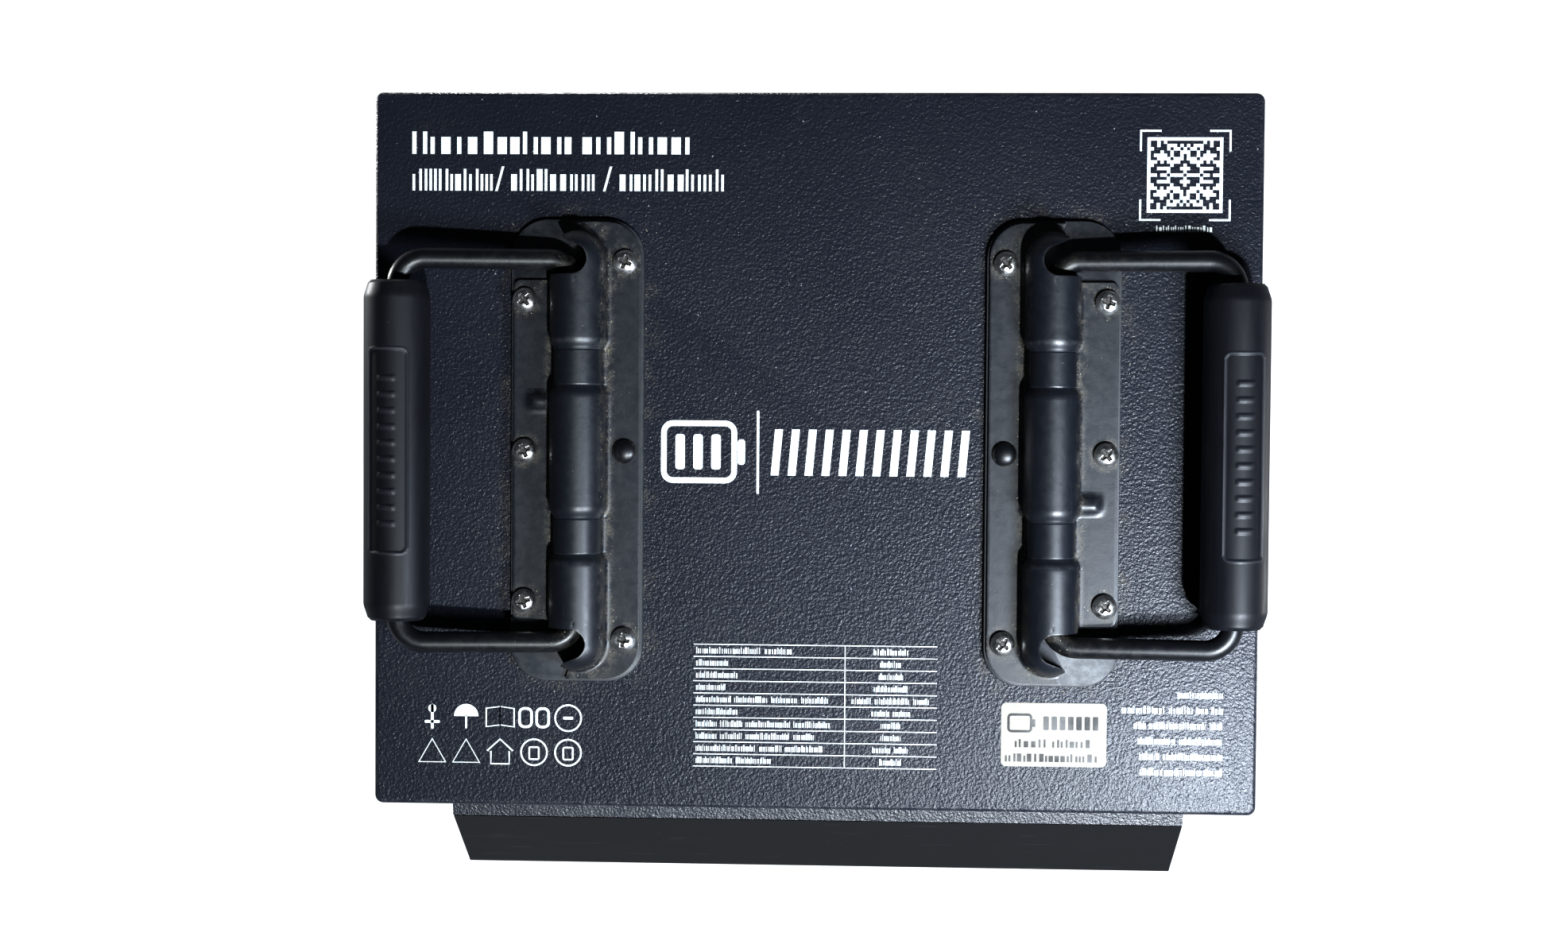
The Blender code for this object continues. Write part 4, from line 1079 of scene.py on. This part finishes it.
def print_pattern():
    """A mirrored block pattern that holds no message, in a bracketed white square."""
    pattern = Printing("print_pattern", PRINT)
    left, bottom, size, cells = 102.0, 74.8, 23.2, 21
    pitch = size / (cells + 2)
    dots = random.Random(7)
    half = (cells + 1) // 2
    filled = [[dots.random() < 0.52 for _ in range(half)] for _ in range(half)]
    for row in range(cells + 2):
        start = None
        for column in range(cells + 3):
            inner_row, inner_column = row - 1, column - 1
            white = 0 <= column < cells + 2
            if 0 <= inner_row < cells and 0 <= inner_column < cells:
                white = not filled[min(inner_row, cells - 1 - inner_row)][
                    min(inner_column, cells - 1 - inner_column)
                ]
            if white and start is None:
                start = column
            if not white and start is not None:
                y = bottom + row * pitch
                pattern.box(left + start * pitch, y, left + column * pitch, y + pitch)
                start = None
    middle_x, middle_y, reach, arm, line = 113.7, 86.3, 14.0, 6.6, 0.62
    for side_x in (-1, 1):
        for side_y in (-1, 1):
            x, y = middle_x + side_x * reach, middle_y + side_y * reach
            for wide, near, far in ((arm, 0.0, line), (line, line, arm)):
                xs = sorted((x, x - side_x * wide))
                ys = sorted((y - side_y * near, y - side_y * far))
                pattern.box(xs[0], ys[0], xs[1], ys[1])
    pattern.words(105.0, 68.9, 2.0, (17.8,), 0.0, 0.36)
    pattern.done()


def print_emblem():
    """A plain battery sign, a dividing line, and a row of level bars."""
    emblem = Printing("print_emblem", PRINT)
    emblem.ring(rounded_rectangle((-46.9, -8.9), (-24.9, 8.9), 2.8, 6), 1.8)
    emblem.bar(-23.8, -21.5, 0.0, 8.0, 0.12)
    for left in (-43.3, -37.7, -32.1):
        emblem.bar(left, left + 3.0, 0.0, 11.0, 0.08)
    emblem.bar(-17.9, -17.1, 0.0, 26.0, 0.02)
    count, left, pitch, width, lean = 12, -12.2, 5.28, 2.5, 1.3
    for number in range(count):
        x = left + number * pitch
        emblem.shape([(x - lean, -7.2), (x + width - lean, -7.2), (x + width, 7.2), (x, 7.2)])
    emblem.done()


def print_table():
    """A ruled table of two columns, with plain bars in its rows."""
    table = Printing("print_table", PRINT)
    left, right, divide, top, pitch, rows = -37.2, 38.9, 10.2, -60.2, 3.83, 10
    rule = 0.28
    for row in range(rows + 1):
        table.bar(left, right, top - row * pitch, rule, 0.05)
    foot = top - rows * pitch
    table.box(divide - rule / 2, foot, divide + rule / 2, top)
    entries = (
        ((20.5, 9.0), (11.0,)),
        ((10.4,), (6.8,)),
        ((13.2,), (7.6,)),
        ((9.4,), (10.6,)),
        ((11.0, 10.6, 8.4, 8.6), (6.2, 11.0, 5.2)),
        ((13.2,), (5.6, 5.4)),
        ((6.6, 7.0, 14.0, 11.6), (6.2,)),
        ((6.6, 7.0, 14.0, 6.4), (6.2,)),
        ((19.0, 7.0, 12.0), (5.8, 4.6)),
        ((11.6, 11.4), (6.8,)),
    )
    gap, height, margin, foot_room = 1.0, 2.0, 0.8, 0.95
    for row, (first, second) in enumerate(entries):
        base = top - (row + 1) * pitch + foot_room
        stroke = 0.30 if row == 0 else 0.22
        table.words(left + margin, base, height, first, gap, stroke)
        width = sum(second) + gap * (len(second) - 1)
        table.words((divide + right - width) / 2, base, height, second, gap, stroke)
    table.done()


def print_symbols():
    """Ten plain signs in two rows: shades, sheets, roofs, blocks and rings that warn of nothing."""
    symbols = Printing("print_symbols", PRINT)
    line = 0.55
    columns = [-119.6 + 10.75 * column for column in range(5)]
    high, low = -84.0, -94.9
    x = columns[0]
    symbols.bar(x - 0.45, x + 0.45, high, 8.0, 0.3)
    symbols.bar(x - 2.4, x + 2.4, high - 1.6, 0.9, 0.3)
    symbols.shape(regular((x, high + 2.6), 1.3, 16))
    x = columns[1]
    symbols.shape(arc_points((x, high + 0.2), 3.9, 0, 180, 24))
    symbols.bar(x - 0.3, x + 0.3, high - 1.6, 4.2, 0.1)
    x = columns[2]
    symbols.ring([(x - 4.4, high - 3.0), (x, high - 2.4), (x, high + 3.4), (x - 4.4, high + 2.8)], line)
    symbols.ring([(x, high - 2.4), (x + 4.4, high - 3.0), (x + 4.4, high + 2.8), (x, high + 3.4)], line)
    x = columns[3]
    for shift in (-2.7, 2.7):
        square = rounded_rectangle((x + shift - 1.9, high - 2.9), (x + shift + 1.9, high + 2.9), 1.5, 5)
        symbols.ring(square, 0.85)
    x = columns[4]
    symbols.ring(regular((x, high), 4.1, 36), line)
    symbols.bar(x - 1.6, x + 1.6, high, 0.9, 0.3)
    for x in columns[:2]:
        symbols.ring(regular((x, low - 1.0), 4.9, 3), line)
    x = columns[2]
    eaves = low + 0.2
    house = [(x - 2.9, low - 3.8), (x + 2.9, low - 3.8), (x + 2.9, eaves), (x + 4.2, eaves)]
    house += [(x, low + 4.0), (x - 4.2, eaves), (x - 2.9, eaves)]
    symbols.ring(house, line)
    for x in columns[3:]:
        symbols.ring(regular((x, low), 4.1, 36), line)
        symbols.ring(rounded_rectangle((x - 1.5, low - 2.2), (x + 1.5, low + 1.6), 0.4, 3), line)
    symbols.done()


def print_side_lines():
    """Right-hand block of six lines of plain strokes, ranged right."""
    lines = Printing("print_side_lines", PRINT)
    right, first_base, pitch, height, gap = 127.4, -75.4, 4.82, 2.3, 1.1
    rows = (((14.0,), 0.22), ((13.4, 7.2, 3.6, 3.6), 0.32), ((3.6, 17.6, 4.0), 0.22))
    rows += (((11.6, 13.4), 0.22), ((6.4, 18.2), 0.22), ((25.4,), 0.32))
    for row, (lengths, stroke) in enumerate(rows):
        width = sum(lengths) + gap * (len(lengths) - 1)
        lines.words(right - width, first_base - pitch * row, height, lengths, gap, stroke)
    lines.done()


def make_sticker():
    """Pale matt sticker with a plain sign and bars printed on it."""
    sticker = Printing("sticker", sticker_foil(), LID_TOP + 0.03 * MM, LID_TOP + 0.16 * MM)
    sticker.shape(rounded_rectangle((58.9, -97.2), (91.6, -77.3), 1.6, 6))
    sticker.done()
    marks = Printing("sticker_marks", DARK_PRINT, LID_TOP + 0.165 * MM, LID_TOP + 0.20 * MM)
    marks.ring(rounded_rectangle((61.2, -86.2), (68.2, -81.0), 0.9, 4), 0.75)
    marks.bar(68.6, 69.5, -83.6, 2.4, 0.1)
    for number in range(7):
        marks.bar(72.0 + 2.55 * number, 73.7 + 2.55 * number, -83.6, 4.2, 0.08)
    marks.words(63.2, -91.2, 2.5, (10.4, 11.6), 1.2, 0.62)
    marks.words(60.2, -95.7, 2.5, (28.6,), 1.0, 0.62)
    marks.done()


# ---------------------------------------------------------------- materials of the CAD pieces

CAD_LOOKS = {
    "case_body": COAT,
    "console_hood": COAT,
    "console_fascia": moulded("fascia_plastic", (0.0040, 0.0042, 0.0048), 0.50, 0.40 * MM, 0.012 * MM),
    "power_socket": moulded("socket_plastic", (0.055, 0.056, 0.060), 0.50),
    "data_socket": plated("data_socket_plate", (0.62, 0.61, 0.58), 0.28),
    "status_lens": moulded("smoked_lens", (0.020, 0.022, 0.022), 0.08, 2.0 * MM, 0.002 * MM),
    "bms_board": circuit_board(),
    "bms_heatsink": plated("heatsink_metal", (0.66, 0.67, 0.68), 0.34, (0.40, 0.40, 0.41)),
    "main_fuse": moulded("fuse_ceramic", (0.52, 0.49, 0.43), 0.40),
    "top_insulator": moulded("insulation_sheet", (0.40, 0.38, 0.31), 0.55),
    "base_pad": moulded("pad_foam", (0.030, 0.030, 0.032), 0.85, 0.8 * MM, 0.10 * MM),
}
GROUP_LOOKS = {
    "cell_": moulded("cell_film", (0.035, 0.090, 0.230), 0.34, 1.0 * MM, 0.010 * MM),
    "busbar_": plated("busbar_copper", (0.76, 0.43, 0.28), 0.30, (0.36, 0.19, 0.12)),
    "lid_screw_": ZINC,
    "nut_plate_": plated("nut_plate_zinc", (0.60, 0.60, 0.58), 0.35),
    "spring_": plated("spring_wire", (0.30, 0.30, 0.31), 0.32, (0.12, 0.11, 0.10)),
}
GROUP_LOOKS["link_"] = GROUP_LOOKS["busbar_"]
GROUP_LOOKS["contact_"] = GROUP_LOOKS["busbar_"]


def dress_cad_nodes():
    for name, node in frame["nodes"].items():
        material = CAD_LOOKS.get(name)
        for start, look in GROUP_LOOKS.items():
            if name.startswith(start):
                material = look
        if material is None:
            material = HANDLE_STEEL
        node.data.materials.clear()
        node.data.materials.append(material)


# ---------------------------------------------------------------- floor, light and camera


FLOOR_GLOW = 0.95
WORLD_ABOVE = 0.045
WORLD_BELOW = 0.60
HORIZON = (0.03, -0.12)
LAMPS = {
    "key": ((0.80, -1.55, 2.95), 0.14, 158.0, (0.90, 0.965, 1.0)),
    "glance": ((0.217, -0.168, 0.28), 0.10, 2.75, (0.80, 0.88, 1.0)),
    "low_left": ((-0.58, 0.22, -0.18), 0.08, 2.6, (1.0, 1.0, 1.0)),
    "low_back": ((-0.16, 0.52, -0.18), 0.08, 3.2, (1.0, 1.0, 1.0)),
    "low_right": ((0.58, -0.06, -0.19), 0.06, 0.65, (1.0, 1.0, 1.0)),
}
VIEW_GAMMA = 0.8


def make_floor():
    """A pale floor with its own glow. It is hidden from the rays that would light the case from below."""
    form = bmesh.new()
    bmesh.ops.create_grid(form, x_segments=1, y_segments=1, size=6.0)
    floor = object_from(form, "floor")
    floor.location.z = -0.2 * MM
    floor.visible_glossy = False
    floor.visible_diffuse = False
    nodes = Nodes("floor")
    tint = nodes.mix(nodes.noise(90 * MM, 3.0), (0.20, 0.20, 0.20), (0.22, 0.22, 0.22))
    fixed = {"Emission_Color": (1.0, 1.0, 1.0, 1.0), "Emission_Strength": FLOOR_GLOW}
    floor.data.materials.append(nodes.finish(tint, 0.9, **fixed))


def add_area_light(name, place, size, power, colour):
    """A round lamp that points at the lid's middle. Its place is from there too."""
    data = bpy.data.lights.new(name, "AREA")
    data.shape = "DISK"
    data.size = size
    data.energy = power
    data.color = colour
    light = linked(name, data)
    light.location = LID_MIDDLE + place
    light.rotation_mode = "QUATERNION"
    light.rotation_quaternion = (-place).to_track_quat("-Z", "Y")


def make_world():
    """Dim above and brighter below, as over a pale table, and pale where the camera sees past the floor."""
    world = bpy.data.worlds.new("studio")
    world.use_nodes = True
    nodes = Tree(world.node_tree)
    lighting = nodes.tree.nodes["Background"]
    height = nodes.parts(nodes.add("ShaderNodeTexCoord").outputs["Generated"])[2]
    nodes.join((0.82, 0.89, 1.0), lighting.inputs["Color"])
    nodes.join(nodes.step(height, *HORIZON, WORLD_ABOVE, WORLD_BELOW), lighting.inputs["Strength"])
    seen = nodes.add("ShaderNodeBackground", {"Color": (0.99, 0.99, 0.99)})
    camera_ray = nodes.add("ShaderNodeLightPath").outputs["Is Camera Ray"]
    shares = {0: camera_ray, 1: lighting.outputs[0], 2: seen.outputs[0]}
    blend = nodes.add("ShaderNodeMixShader", shares)
    nodes.join(blend.outputs[0], nodes.tree.nodes["World Output"].inputs["Surface"])
    bpy.context.scene.world = world


def make_lights():
    """A far key lamp in front, one that glances off the lid, and three weak ones low beside the case."""
    for name, (place, size, power, colour) in LAMPS.items():
        add_area_light(name, Vector(place), size, power, colour)
    view = bpy.context.scene.view_settings
    view.view_transform = "Standard"
    view.gamma = VIEW_GAMMA


CAMERA_OFFSET = Vector((16.7, 12.2, 643.2)) * MM
CAMERA_TILT = (-0.0294, 0.0404, 0.0084)
CAMERA_LENS = 47.44


def make_camera():
    """Looks almost straight down on the lid, a little tilted, as a hand-held camera does."""
    data = bpy.data.cameras.new("camera")
    data.lens = CAMERA_LENS
    data.sensor_width = 36.0
    data.clip_start = 0.01
    camera = linked("camera", data)
    camera.location = LID_MIDDLE + CAMERA_OFFSET
    camera.rotation_mode = "ZYX"
    camera.rotation_euler = CAMERA_TILT
    bpy.context.scene.camera = camera


# ---------------------------------------------------------------- the whole scene

make_camera()
make_lights()
make_world()
make_floor()
dress_cad_nodes()
make_lid()
for side_name in SIDES:
    make_base_plate(side_name)
    make_cover(side_name)
    make_fasteners(side_name)
    make_bail(side_name)
    make_grip(side_name)
print_heading()
print_pattern()
print_emblem()
print_table()
print_symbols()
print_side_lines()
make_sticker()
